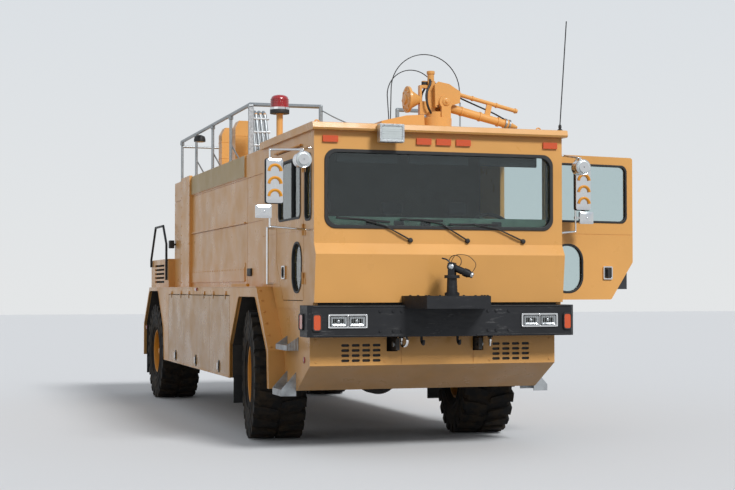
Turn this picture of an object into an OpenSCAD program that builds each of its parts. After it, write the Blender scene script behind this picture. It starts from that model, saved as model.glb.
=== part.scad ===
// Airport fire truck, a rear-engined four-wheel crash tender, in millimetres.
// Every piece is drawn in the vehicle's own frame: x = 0 on the centre line with the
// vehicle's left at +x, y = 0 on the cab's front face with +y to the rear, z = 0 on the ground.
// seat_in_box() then moves each piece so that the origin is the bottom centre of the whole.

/* [Wheels and axles] */
// Tyre radius out to the lug tips
tyre_r = 728; // [690:1:760]
// Tyre width
tyre_w = 600; // [540:1:620]
// Number of lugs round each half of the tread
lug_n = 24; // [20:1:26]
// Height of the tread's lugs
lug_h = 32; // [20:1:40]
// Rim radius under the tyre bead
rim_r = 320; // [300:1:335]
// Distance of each tyre's middle from the centre line
track_half = 1230; // [1210:1:1240]
// Front axle behind the cab front
front_axle_y = 2190; // [2160:1:2210]
// Rear axle behind the cab front
rear_axle_y = 8800; // [8760:1:8840]
// Distance of each kingpin from the centre line
kingpin_x = 1050; // [1040:1:1060]
// Angle of the front wheels as parked, with their fronts toward the vehicle's right
steer_rest = -7; // [-10:1:0]
// Radius of the axle tubes
axle_tube_r = 95; // [80:1:105]
// Radius of the kingpins
kingpin_r = 30; // [25:1:36]
// Radius of the wheel spindles
spindle_r = 50; // [45:1:60]

/* [Frame] */
// Distance of each frame rail's middle from the centre line
rail_x = 430; // [420:1:440]
// Width of a frame rail
rail_w = 90; // [70:1:100]
// Height of a frame rail
rail_h = 270; // [240:1:290]
// Underside of the frame rails above the ground
rail_z = 960; // [950:1:980]
// Thickness of the frame's channel sections
rail_t = 12; // [8:1:16]

/* [Cab] */
// Half of the cab's width
cab_half = 1361; // [1350:1:1370]
// Length of the cab from its front face to its rear wall
cab_len = 2210; // [2190:1:2230]
// Thickness of the cab's walls and doors
wall = 50; // [44:1:54]
// Lower edge of the cab's side walls
cab_z = 1497; // [1485:1:1505]
// Underside of the cab roof
roof_z = 3300; // [3280:1:3330]
// Thickness of the cab roof
roof_t = 78; // [60:1:100]
// How far the nose stands out at its fold
nose_out = 68; // [40:1:90]
// Height of the fold under the windscreen
fold_z = 2163; // [2140:1:2190]
// Height of the nose's furthest point
nose_z = 2052; // [2030:1:2080]
// Lower edge of the nose
nose_low_z = 1564; // [1560:1:1580]
// Half of the windscreen's width
screen_half = 1228; // [1180:1:1250]
// Lower edge of the windscreen
screen_z = 2338; // [2300:1:2380]
// Height of the windscreen
screen_h = 750; // [700:1:800]
// Thickness of the glass
glass_t = 10; // [6:1:16]

/* [Doors] */
// Front edge of the cab doors
door_y = 408; // [400:1:420]
// Length of the cab doors
door_l = 1137; // [1110:1:1160]
// Lower edge of the cab doors
door_z = 1585; // [1580:1:1600]
// Height of the cab doors
door_h = 1585; // [1540:1:1600]
// Length of the cut off the door's lower rear corner
door_cut_l = 295; // [260:1:330]
// Height of the cut off the door's lower rear corner
door_cut_h = 415; // [380:1:450]
// Gap round a door or a locker lid
door_gap = 8; // [6:1:12]
// Angle of the driver's door as parked
door_open = 81; // [0:1:85]
// Radius of the hinge barrels
hinge_r = 10; // [8:1:14]

/* [Body] */
// Half of the width over the fenders and lockers
body_half = 1537; // [1530:1:1560]
// Lower edge of the fenders and lockers
body_z = 632; // [600:1:660]
// Top of the ledge along the fenders
ledge_z = 1728; // [1710:1:1732]
// Thickness of the ledge
ledge_t = 28; // [20:1:40]
// Thickness of the body's sheet walls
sheet = 24; // [16:1:30]
// Upper edge of the locker lids
lid_top_z = 1620; // [1600:1:1640]
// Thickness of the locker lids
lid_t = 30; // [24:1:36]
// Depth of the lockers
locker_depth = 560; // [480:1:600]
// Rear end of the body
body_end = 9900; // [9860:1:9950]
// Half of the tank's width
tank_half = 1326; // [1300:1:1340]
// Rear end of the tank
tank_end = 8200; // [8150:1:8250]
// Top of the tank
tank_top = 3330; // [3300:1:3360]
// Half of the rear deck's width
deck_half = 1420; // [1380:1:1440]
// Top of the rear deck
deck_top = 2170; // [2120:1:2220]

/* [Front end] */
// Half of the bumper's width
bumper_half = 1450; // [1430:1:1470]
// Lower edge of the bumper
bumper_z = 1219; // [1210:1:1230]
// Height of the bumper
bumper_h = 318; // [300:1:325]
// How far the bumper stands in front of the cab
bumper_out = 110; // [90:1:130]
// Half of the skirt's width under the bumper
skirt_half = 1353; // [1340:1:1370]
// Skirt's face behind the cab front
skirt_y = 183; // [170:1:195]
// Thickness of the skirt's plate
skirt_t = 14; // [10:1:18]
// How far the nozzle shelf stands in front of the bumper
shelf_out = 390; // [340:1:420]

/* [Roof turret] */
// Middle of the roof turret across the truck
turret_x = 420; // [380:1:460]
// Middle of the roof turret behind the cab front
turret_y = 1300; // [1250:1:1350]
// Height of the turret's elevation pivot
turret_z = 3800; // [3770:1:3830]
// Length of the turret's barrel from its pivot to the tip
barrel_l = 946; // [900:1:1000]
// How far the elevation pivot stands in front of the turret's axis
pivot_out = 80; // [70:1:90]
// Turn of the barrel as parked, from straight ahead toward the vehicle's left
barrel_turn = 90; // [60:1:110]
// Angle of the barrel below level as parked
barrel_drop = 13; // [0:1:16]

/* [Bumper nozzle] */
// Height of the bumper nozzle's pivot
nozzle_z = 1925; // [1910:1:1940]
// Turn of the bumper nozzle as parked, toward the vehicle's left
nozzle_turn = 60; // [0:1:90]
// Angle of the bumper nozzle below level as parked
nozzle_drop = 23; // [0:1:30]

/* [Hidden] */
$fn = 64;
// Clearance of pieces that rest against each other
seat_gap = 0.3;
// Clearance round a running pin
run_gap = 0.05;
// Overlap that makes a cut pass cleanly through
cut = 5;

// Sides: the vehicle's right is at -x
RIGHT = -1;
LEFT = 1;

// Mirrors of each side, by distances from the centre line: the tube in x and y, and the
// middles of the tall mirror and of the wide one
MIR_X = 0;
MIR_Y = 1;
MIR_TALL = 2;
MIR_WIDE = 3;
RIGHT_MIRROR = [1816, 0, 1777, 1884];
LEFT_MIRROR = [1617, 205, 1690, 1734];
wide_mirror_w = 162;

// Box of the whole: from the right mirror to the open driver's door, and from the
// nozzle shelf to the rear tow pin
mirror_reach = RIGHT_MIRROR[MIR_WIDE] + wide_mirror_w / 2;
shelf_front = bumper_out + shelf_out;
tow_end = body_end + 120;
hinge_x = cab_half + 12;
hinge_y = door_y - 12;
door_reach = hinge_x + (door_l + 12) * sin(door_open);
box_mid_x = (door_reach - mirror_reach) / 2;
box_mid_y = (tow_end - shelf_front) / 2;

// Front ends of the tank and of the rear deck's cover, half of the roof's width
tank_front = cab_len + 30;
deck_end = body_end - 40;
roof_half = cab_half + 34;

// Wheel arches, as the outline's points in y and z
fa = front_axle_y;
ra = rear_axle_y;
front_arch = [[fa - 965, body_z], [fa - 925, 1030], [fa - 370, lid_top_z],
              [fa + 490, lid_top_z], [fa + 982, 1030], [fa + 982, body_z]];
rear_arch = [[ra - 900, body_z], [ra - 820, 1130], [ra - 330, 1680],
             [ra + 490, 1680], [body_end - 50, 1130], [body_end - 50, body_z]];
// Outline of the fender and locker side
front_flange = 46;
fender_front = fa - 965 - front_flange;
fender_top = fa - 410;
fender_back = body_end - 565;
side_outline = [[fender_front, body_z], [fender_front + 32, 1040], [fender_top, ledge_z],
                [fender_back, ledge_z], [body_end, 1140], [body_end, body_z]];

// Locker bays, each with its front edge and its length
LID_Y = 0;
LID_L = 1;
LIDS = [[3180, 1230], [4410, 1820], [6230, 1270]];
bay_end = 7500;

// Windows in the side: the middle in y and z, the size in y and z, the corner radius
WIN_Y = 0;
WIN_Z = 1;
WIN_L = 2;
WIN_H = 3;
WIN_R = 4;
door_window = [door_y + 582, 2756, 920, 619, 60];
low_window = [door_y + 262, 1926, 376, 510, 170];
quarter_window = [228, 2740, 230, 660, 60];

module seat_in_box() translate([-box_mid_x, -box_mid_y, 0]) children();

// Mirrors a piece drawn for the left to the side named
module on_side(s) mirror([s < 0 ? 1 : 0, 0, 0]) children();

// Extrudes an outline in y and z along x, from x0 over w
module along_x(x0, w) translate([x0, 0, 0]) rotate([90, 0, 90]) linear_extrude(w) children();

// Extrudes an outline in x and z along y, from y0 over l
module along_y(y0, l) translate([0, y0 + l, 0]) rotate([90, 0, 0]) linear_extrude(l) children();

module box(x0, y0, z0, x1, y1, z1) translate([x0, y0, z0]) cube([x1 - x0, y1 - y0, z1 - z0]);

// Strip of thickness t to the left of a line of points, with mitred corners
function left_of(v) = [-v[1], v[0]] / norm(v);
function mitre(a, b) = (left_of(a) + left_of(b)) / (1 + left_of(a) * left_of(b));
function beside(p, t) = [for (i = [0:len(p) - 1])
    p[i] + t * mitre(p[max(i, 1)] - p[max(i, 1) - 1],
                     p[min(i + 1, len(p) - 1)] - p[min(i, len(p) - 2)])];
module strip(p, t) polygon(concat(p, [for (i = [len(p) - 1:-1:0]) beside(p, t)[i]]));

// Round bar between two points
module rod(a, b, r) {
    d = b - a;
    l = norm(d);
    translate(a) rotate([0, acos(d[2] / l), atan2(d[1], d[0])]) cylinder(r = r, h = l);
}

// Bar bent through a list of points, with a ball a little larger than the bar at each corner
ball_grow = 1;
module bent_rod(pts, r) {
    for (i = [0:len(pts) - 2]) rod(pts[i], pts[i + 1], r);
    for (i = [1:1:len(pts) - 2]) translate(pts[i]) sphere(r = r + ball_grow);
}

module round_rect(w, h, r) {
    square([w - 2 * r, h], center = true);
    square([w, h - 2 * r], center = true);
    for (i = [-1, 1], k = [-1, 1]) translate([i * (w / 2 - r), k * (h / 2 - r)]) circle(r = r);
}

module side_window(win, grow = 0)
    translate([win[WIN_Y], win[WIN_Z]])
        round_rect(win[WIN_L] + 2 * grow, win[WIN_H] + 2 * grow, win[WIN_R] + grow);

// Turns a front wheel's pieces to the angle at which they are parked
module steered(s)
    translate([s * kingpin_x, front_axle_y, 0]) rotate([0, 0, steer_rest])
        translate([-s * kingpin_x, -front_axle_y, 0]) children();

// Cab floor's top and thickness
floor_z = door_z - 10;
floor_t = 40;
// Front end of the frame rails, behind the skirt
rail_y = skirt_y + skirt_t + seat_gap;
// Height of the shaft from the engine to the transfer case
input_z = 1095;
// Front tow eyes
tow_x = rail_x + 25;
tow_y = 110;
tow_z = 1135;

// Chassis: two channel rails, crossmembers, spring hangers and the tow pins
module chassis_frame() {
    color("#3a3226") {
        for (s = [RIGHT, LEFT]) on_side(s) {
            difference() {
                box(rail_x - rail_w / 2, rail_y, rail_z, rail_x + rail_w / 2, 9750, rail_z + rail_h);
                box(rail_x - rail_w / 2 + rail_t, rail_y - cut, rail_z + rail_t,
                    rail_x + rail_w / 2 + cut, 9750 + cut, rail_z + rail_h - rail_t);
            }
            // Post that carries the cab floor
            box(rail_x - rail_w / 2, 600, rail_z + rail_h,
                rail_x + rail_w / 2, 700, floor_z - floor_t - seat_gap);
        }
        inner = rail_x - rail_w / 2;
        difference() {
            for (y = [220, 1240, 3200, 4600, 6700, 9640])
                difference() {
                    box(-inner, y, rail_z + 20, inner, y + 100, rail_z + rail_h - 20);
                    box(-inner, y - cut, rail_z + 32,
                        inner, y + 100 - rail_t, rail_z + rail_h - 32);
                }
            translate([0, 6690, input_z]) rotate([-90, 0, 0]) cylinder(r = 80, h = 120);
        }
        // Tow eyes at the front, each a plate with a bore
        for (s = [RIGHT, LEFT]) on_side(s)
            difference() {
                box(tow_x - 20, 60, 1075, tow_x + 20, 300, 1195);
                translate([tow_x - 21, tow_y, tow_z]) rotate([0, 90, 0])
                    cylinder(r = 28, h = 42);
            }
        // Rear tow jaw
        difference() {
            box(-90, 9740, 980, 90, tow_end, 1200);
            box(-60, 9800, 1030, 60, tow_end + cut, 1150);
            translate([0, tow_end - 60, 970]) cylinder(r = 25, h = 240);
        }
    }
}

// Engine as a plain block at its real place, seated between the rails
module engine() {
    inner = rail_x - rail_w / 2;
    color("#6b6f72") {
        box(-300, 8300, 1010, 300, 9560, 1640);
        box(-inner, 8450, 1100, inner, 8600, 1200);
        box(-inner, 9250, 1100, inner, 9400, 1200);
    }
}

// Axle tube with its differential, spring pads and end pieces
pinion_nose = 330;
module axle_beam(y, half, nose) {
    translate([-half, y, tyre_r]) rotate([0, 90, 0]) cylinder(r = axle_tube_r, h = 2 * half);
    translate([0, y, tyre_r]) rotate([-90 * nose, 0, 0]) cylinder(r = 75, h = pinion_nose);
    translate([0, y, tyre_r]) rotate([90, 0, 0]) cylinder(r = 250, h = 210, center = true);
    translate([0, y - 105, tyre_r]) sphere(r = 205);
    translate([0, y + 105, tyre_r]) sphere(r = 205);
    for (s = [RIGHT, LEFT]) on_side(s)
        box(rail_x - 60, y - 95, tyre_r, rail_x + 60, y + 95, tyre_r + axle_tube_r + 20);
}

module front_axle() {
    boss = 78;
    taper = 70;
    color("#39332a") difference() {
        union() {
            axle_beam(front_axle_y, kingpin_x - taper, 1);
            for (s = [RIGHT, LEFT]) on_side(s) {
                translate([kingpin_x, front_axle_y, tyre_r - 105]) cylinder(r = boss, h = 210);
                translate([kingpin_x - taper, front_axle_y, tyre_r]) rotate([0, 90, 0])
                    cylinder(r1 = axle_tube_r, r2 = boss - 6, h = taper);
            }
        }
        for (s = [RIGHT, LEFT])
            translate([s * kingpin_x, front_axle_y, tyre_r - 110])
                cylinder(r = kingpin_r + run_gap, h = 220);
    }
}

// Steering knuckle: a fork over the axle's end with the kingpin and the wheel spindle
module knuckle(s) {
    color("#39332a") steered(s) translate([s * kingpin_x, front_axle_y, tyre_r]) on_side(s) {
        cylinder(r = kingpin_r, h = 300, center = true);
        for (k = [0, 1]) mirror([0, 0, k]) {
            translate([0, 0, 110]) cylinder(r = 80, h = 40);
            box(0, -80, 110, 135, 80, 150);
        }
        box(98, -80, -150, 135, 80, 150);
        translate([130, 0, 0]) rotate([0, 90, 0]) cylinder(r = spindle_r, h = 235);
        // Steering arm behind the axle
        translate([0, 0, -150]) linear_extrude(35)
            polygon([[-10, -60], [-10, 60], [-70, 225], [-105, 225], [-78, 0]]);
    }
}

module rear_axle() {
    color("#39332a") {
        axle_beam(rear_axle_y, 1110, -1);
        for (s = [RIGHT, LEFT]) on_side(s) {
            translate([1100, rear_axle_y, tyre_r]) rotate([0, 90, 0]) cylinder(r = 150, h = 60);
            translate([1150, rear_axle_y, tyre_r]) rotate([0, 90, 0])
                cylinder(r = spindle_r, h = 265);
        }
    }
}

// One leaf spring pack: leaves in shortening steps under a shallow bow
leaf_t = 15;
leaf_half = 700;
leaf_bow = 32;
function leaf_z(y) = leaf_bow * pow(y / leaf_half, 2);
leaf_step = 140;
function leaf_end(k) = 2 * leaf_step + k * leaf_step;
function at_leaf(y, k) = [y, leaf_z(y) + k * leaf_t];
module leaf_pack() {
    under = concat([for (k = [3:-1:1], y = [-leaf_end(k), -leaf_end(k - 1)]) at_leaf(y, k)],
                   [for (y = [-leaf_end(0):leaf_step:leaf_end(0)]) at_leaf(y, 0)],
                   [for (k = [1:3], y = [leaf_end(k - 1), leaf_end(k)]) at_leaf(y, k)]);
    top = [for (y = [leaf_half:-leaf_step:-leaf_half]) at_leaf(y, 4)];
    polygon(concat(under, top));
}

module springs() {
    base = tyre_r + axle_tube_r + 20;
    color("#2e2a26") for (y = [front_axle_y, rear_axle_y], s = [RIGHT, LEFT]) on_side(s)
        translate([0, y, base]) {
            along_x(rail_x - 40, 80) leaf_pack();
            // Eyes and hangers up to the rail
            for (e = [-1, 1]) {
                translate([rail_x - 40, e * leaf_half, leaf_bow + 3.5 * leaf_t])
                    rotate([0, 90, 0]) cylinder(r = 22, h = 80);
                box(rail_x - 30, e * leaf_half - 20, leaf_bow + 3.5 * leaf_t,
                    rail_x + 30, e * leaf_half + 20, rail_z - base);
            }
            // Clamp bolts over the axle
            for (e = [-70, 70]) box(rail_x - 50, e - 10, 0, rail_x + 50, e + 10, 4 * leaf_t + 12);
        }
}

// Transfer case and the shafts to both axles and up to the engine
module driveline() {
    case_y = 5200;
    inner = rail_x - rail_w / 2;
    color("#4a443c") {
        box(-220, case_y - 180, 820, 220, case_y + 180, 1200);
        box(-inner, case_y - 40, 1080, inner, case_y + 40, 1140);
        end = pinion_nose + 4;
        rod([0, front_axle_y + end, tyre_r], [0, case_y - 170, 900], 52);
        rod([0, case_y + 170, 900], [0, rear_axle_y - end, tyre_r], 52);
        rod([0, case_y + 170, input_z], [0, 8300 - seat_gap, input_z], 58);
    }
}

// Tyre as a revolved section with bead, bulged wall and rounded shoulder, and two rows of
// slanted lugs, staggered by half a pitch
LUG = [[18, -76], [18, -4], [150, 35], [290, 56], [290, -56], [150, -55]];
module tyre() {
    half = tyre_w / 2;
    bead = rim_r + seat_gap;
    base = tyre_r - lug_h;
    root = 110;
    color("#1d1c1c") {
        rotate([0, 90, 0]) rotate_extrude($fn = 192)
            polygon([[bead, -half + 70], [bead + 40, -half + 28], [bead + 130, -half],
                     [bead + 250, -half + 4], [base - 46, -half + 20], [base, -half + 64],
                     [base, half - 64], [base - 46, half - 20], [bead + 250, half - 4],
                     [bead + 130, half], [bead + 40, half - 28], [bead, half - 70]]);
        intersection() {
            rotate([0, 90, 0]) cylinder(r = tyre_r, h = tyre_w, center = true, $fn = 192);
            for (s = [RIGHT, LEFT], i = [0:lug_n - 1]) on_side(s)
                rotate([(i + (s > 0 ? 0.5 : 0)) * 360 / lug_n, 0, 0])
                    translate([0, 0, base - root]) linear_extrude(root + lug_h + cut)
                        scale([half / 300, 1]) polygon(LUG);
        }
    }
}

// Rim: a barrel with lips, a dished disc and a hub that runs on the spindle
module rim(s) {
    half = tyre_w / 2;
    color("#d9962e") on_side(s) difference() {
        rotate([0, 90, 0]) rotate_extrude()
            polygon([[rim_r - 22, -half + 60], [rim_r, -half + 60], [rim_r, half - 60],
                     [rim_r - 22, half - 60], [rim_r - 40, 60], [150, 20], [150, 170],
                     [110, 205], [0, 205], [0, -38], [150, -38], [150, -20],
                     [rim_r - 40, 20], [rim_r - 40, -60]]);
        translate([-200, 0, 0]) rotate([0, 90, 0])
            cylinder(r = spindle_r + run_gap, h = 200 + 185 + 2);
        for (a = [0:36:324]) rotate([a, 0, 0]) translate([-60, 0, 215]) rotate([0, 90, 0])
            cylinder(r = 26, h = 160, $fn = 32);
    }
}

module front_wheel(s) steered(s) translate([s * track_half, front_axle_y, tyre_r]) children();
module rear_wheel(s) translate([s * track_half, rear_axle_y, tyre_r]) children();

// Cab: outer line of the front, as points in y and z from the bottom up
function front_line(in) = [[in - 8, nose_low_z], [in - nose_out, nose_z], [in, fold_z],
                           [in, roof_z]];

module cab_front() {
    outer = front_line(0);
    inner = front_line(wall);
    color("#e0a24c") difference() {
        along_x(-cab_half, 2 * cab_half)
            polygon(concat(outer, [for (i = [3:-1:0]) inner[i]]));
        along_y(-cut, wall + 2 * cut) translate([0, screen_z + screen_h / 2])
            round_rect(2 * screen_half, screen_h, 90);
    }
}

// Outline of a cab door in y and z: its lower rear corner is cut off over the fender
module door_outline(grow = 0)
    offset(delta = grow) offset(r = 30) offset(delta = -30)
        polygon([[door_y, door_z], [door_y + door_l - door_cut_l, door_z],
                 [door_y + door_l, door_z + door_cut_h], [door_y + door_l, door_z + door_h],
                 [door_y, door_z + door_h]]);

// Line of the cab's underside over the front wheels
step_y = 1545;
step_rise_y = 1735;
over_ledge = ledge_z + seat_gap;

// Pressed seam along the cab's side and the doors
seam_z = 2300;
module side_seam()
    box(cab_half - 4, wall, seam_z, cab_half + cut, cab_len - 40, seam_z + 7);

module cab_side(s) {
    color("#c98f43") on_side(s) difference() {
        along_x(cab_half - wall, wall) difference() {
            polygon(concat([[wall - 8, cab_z]], front_line(wall),
                           [[cab_len, roof_z], [cab_len, over_ledge],
                            [step_rise_y, over_ledge], [step_y, cab_z]]));
            door_outline(door_gap);
            side_window(quarter_window);
        }
        side_seam();
    }
    // Fixed halves of the door hinges
    color("#a8742f") on_side(s) for (z = [1750, 2250, 2900]) {
        translate([hinge_x, hinge_y, z]) cylinder(r = hinge_r, h = 60);
        box(cab_half, hinge_y - 80, z, cab_half + 5, hinge_y, z + 60);
        box(cab_half, hinge_y - 10, z, hinge_x, hinge_y, z + 60);
    }
}

// Floor and rear wall of the cab, bent over the front wheels
module cab_tub() {
    low = floor_z - floor_t;
    inside = cab_half - wall;
    color("#8f8a80") {
        along_x(-inside + door_gap, 2 * (inside - door_gap))
            polygon([[wall - 8, low], [step_y - 20, low], [step_rise_y - 20, over_ledge],
                     [cab_len - wall, over_ledge], [cab_len - wall, over_ledge + floor_t],
                     [step_rise_y - 40, over_ledge + floor_t], [step_y - 40, floor_z],
                     [wall - 8, floor_z]]);
        box(-inside, cab_len - wall, over_ledge, inside, cab_len, roof_z);
    }
}

module cab_roof() {
    color("#d49a49") {
        along_x(-roof_half, 2 * roof_half)
            polygon([[-70, roof_z], [-82, roof_z + 20], [-70, roof_z + roof_t - 8],
                     [-40, roof_z + roof_t], [cab_len + 10, roof_z + roof_t],
                     [cab_len + 10, roof_z]]);
    }
}

module cab_glass() {
    color("#7fa39a", 0.4) {
        along_y(20, glass_t) translate([0, screen_z + screen_h / 2])
            round_rect(2 * screen_half, screen_h, 90);
        for (s = [RIGHT, LEFT]) on_side(s)
            along_x(cab_half - 30, glass_t) side_window(quarter_window);
    }
}

// Seats on pedestals, by their middles across the cab
SEATS_X = [-800, 60, 860];
module seats() {
    z0 = over_ledge + floor_t;
    back = cab_len - 310;
    color("#33373c") for (x = SEATS_X) translate([x, 0, 0]) {
        box(-150, back - 600, floor_z + seat_gap, 150, back - 420, z0 + 65);
        along_x(-240, 480) offset(r = 20) offset(delta = -20)
            polygon([[back - 650, z0 + 60], [back - 650, z0 + 190], [back - 200, z0 + 170],
                     [back - 100, z0 + 850], [back, z0 + 850], [back - 50, z0 + 60]]);
    }
}

// Dashboard across the cab, with the steering wheel in front of the driver
wheel_x = 860;
module dashboard() {
    color("#2b2c2e") {
        half = cab_half - wall - door_gap;
        behind = wall + seat_gap;
        along_x(-half, 2 * half)
            polygon([[behind, fold_z], [behind, screen_z - 20], [430, screen_z - 60],
                     [520, screen_z - 190], [470, screen_z - 330], [300, fold_z - 120],
                     [0, nose_z - 20], [behind - nose_out, nose_z]]);
        rod([wheel_x, 440, 2130], [wheel_x, 700, 2360], 30);
        translate([wheel_x, 700, 2360]) rotate([48, 0, 0]) {
            rotate_extrude() translate([220, 0]) circle(r = 16, $fn = 24);
            for (a = [0:120:240]) rotate([0, 0, a]) translate([0, -18, -8]) cube([222, 36, 16]);
            cylinder(r = 60, h = 30, center = true);
        }
    }
}

// Cab door, drawn closed on the left
module door_panel() {
    difference() {
        along_x(cab_half - wall, wall) difference() {
            door_outline();
            side_window(door_window);
            side_window(low_window);
        }
        side_seam();
    }
    // Moving halves of the hinges, above the fixed ones
    for (z = [1811, 2311, 2961]) {
        translate([hinge_x, hinge_y, z]) cylinder(r = hinge_r, h = 60);
        box(cab_half, hinge_y, z, cab_half + 5, hinge_y + 90, z + 60);
        box(cab_half, hinge_y, z, hinge_x, hinge_y + 10, z + 60);
    }
    // Paddle handle on its plate
    handle_y = door_y + 787;
    box(cab_half, handle_y - 60, 1815, cab_half + 8, handle_y + 60, 1945);
    box(cab_half + 8, handle_y - 15, 1835, cab_half + 26, handle_y + 15, 1925);
}

module door_panes() {
    along_x(cab_half - 30, glass_t) {
        side_window(door_window);
        side_window(low_window);
    }
}

// Swings the driver's door to the angle at which it is parked
module swung_open()
    translate([hinge_x, hinge_y, 0]) rotate([0, 0, -door_open])
        translate([-hinge_x, -hinge_y, 0]) children();

// Fenders and lockers of one side: the skin with its arches, the ledge, the bent
// wheelhouse panels and the open locker box
module body_side(s) {
    skin = lid_t + 6;
    inner_x = body_half - locker_depth;
    color("#d1954a") on_side(s) {
        // Skin
        along_x(body_half - skin, skin) difference() {
            polygon(side_outline);
            polygon(concat(front_arch, [[fa + 982, 0], [fa - 965, 0]]));
            polygon(concat(rear_arch, [[body_end - 50, 0], [ra - 900, 0]]));
            translate([LIDS[0][LID_Y] - door_gap, body_z - cut])
                square([bay_end - LIDS[0][LID_Y] + 2 * door_gap,
                        lid_top_z - body_z + cut + door_gap]);
        }
        // Ledge over the whole length
        box(700, fender_top, ledge_z - ledge_t, body_half - skin, fender_back, ledge_z);
        // Wheelhouse panels in front of and behind each wheel
        along_x(inner_x - sheet, locker_depth - skin + sheet) {
            polygon([[fender_front, body_z], front_arch[0], front_arch[1],
                     [fender_top + 20, ledge_z - ledge_t], [fender_top, ledge_z],
                     [fender_front + 32, 1040]]);
            strip([front_arch[5], front_arch[4], [fa + 490, 1600],
                   [fa + 490, ledge_z - ledge_t / 2]], -sheet);
            strip([rear_arch[0], rear_arch[1], rear_arch[2], [ra - 330, ledge_z - ledge_t / 2]],
                  sheet);
            polygon([rear_arch[5], rear_arch[4], rear_arch[3], [ra + 490, ledge_z - ledge_t / 2],
                     [fender_back, ledge_z], [body_end, 1140], [body_end, body_z]]);
        }
        // Locker box: inner wall, floor, top and dividers
        along_x(inner_x - sheet, sheet)
            polygon([[3180, body_z], [3180, 1030], [2690, 1605], [2690, ledge_z - ledge_t / 2],
                     [8460, ledge_z - ledge_t / 2], [8460, 1690], [7970, 1135], [7890, body_z]]);
        box(inner_x - 1, 3180, body_z, body_half - skin, 7890, body_z + sheet);
        box(inner_x - 1, 2690, lid_top_z + 14, body_half - skin, 8430, lid_top_z + 14 + sheet);
        for (y = [4410, 6230, bay_end])
            box(inner_x - 1, y - sheet / 2, body_z + sheet,
                body_half - skin, y + sheet / 2, lid_top_z + 14);
    }
    // Fixed halves of the lid hinges
    color("#a8742f") on_side(s) for (lid = LIDS, k = [0.2, 0.8])
        translate([body_half + 10, lid[LID_Y] + k * lid[LID_L], lid_top_z + 16]) {
            rotate([90, 0, 0]) cylinder(r = hinge_r - 1, h = 50);
            box(-10, -50, 0, 0, 0, 40);
        }
}

// Locker lid, hinged at the top, with its latch near the bottom
module lid(s, i) {
    y0 = LIDS[i][LID_Y] + door_gap / 2;
    l = LIDS[i][LID_L] - door_gap;
    top = lid_top_z + door_gap - 6;
    color("#d1954a") on_side(s) {
        box(body_half - lid_t, y0, body_z, body_half, y0 + l, lid_top_z - 2);
        for (k = [0.2, 0.8])
            translate([body_half + 10, LIDS[i][LID_Y] + k * LIDS[i][LID_L] + 1, lid_top_z + 16]) {
                rotate([-90, 0, 0]) cylinder(r = hinge_r - 1, h = 50);
                box(-10, 0, -60, -4, 50, 0);
            }
        translate([body_half, y0 + l / 2, body_z + 70]) rotate([0, 90, 0]) {
            cylinder(r = 24, h = 8);
            translate([0, 0, 8]) cylinder(r = 12, h = 8);
        }
    }
}

// Tank and pump house between the cab and the rear deck
band_z = 3045;
groove_z = 2490;
module tank_body() {
    color("#c98f43") {
        difference() {
            box(-tank_half, tank_front, over_ledge, tank_half, tank_end, tank_top);
            for (s = [RIGHT, LEFT]) on_side(s) {
                box(tank_half - 8, tank_front - cut, band_z - 10, tank_half + cut, tank_end + cut, band_z);
                box(tank_half - 8, tank_front - cut, groove_z, tank_half + cut, 6740, groove_z + 10);
                box(tank_half - 8, 3130, ledge_z - cut, tank_half + cut, 3142, band_z);
            }
        }
        box(-700 + seat_gap, 3300, rail_z + rail_h, 700 - seat_gap, 7500, over_ledge);
        for (s = [RIGHT, LEFT]) on_side(s) {
            box(tank_half, 3250, band_z + 20, tank_half + 14, 6740, tank_top);
            box(tank_half, 3250, 1965, tank_half + 6, 6740, 2022);
            box(tank_half, 6745, over_ledge, tank_half + 44, 7405, tank_top + 20);
        }
    }
}

// Rear deck: an open-bottomed engine cover with louvred sides
module rear_deck() {
    color("#d1954a") difference() {
        box(-deck_half, tank_end, ledge_z, deck_half, deck_end, deck_top);
        box(-deck_half + sheet, tank_end + sheet, ledge_z - cut,
            deck_half - sheet, deck_end - sheet, deck_top - sheet);
        for (s = [RIGHT, LEFT], k = [0:4]) on_side(s)
            box(deck_half - sheet - cut, 8600, 1800 + k * 64, deck_half + cut, 9500, 1832 + k * 64);
        for (k = [0:4])
            box(-900, deck_end - sheet - cut, 1800 + k * 64, 900, deck_end + cut, 1832 + k * 64);
    }
}

// Hand rails along the rear deck's sides, by their points in y and z
DECK_RAIL = [[9773, 2060], [9773, 2180], [9330, 2693], [8603, 2694], [8302, 2400], [8302, 1843]];
deck_rail_r = 18;
module deck_rails() {
    x = deck_half + deck_rail_r + ball_grow + seat_gap;
    color("#202124") for (s = [RIGHT, LEFT]) on_side(s)
        bent_rod([for (p = DECK_RAIL) [x, p[0], p[1]]], deck_rail_r);
}

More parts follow.
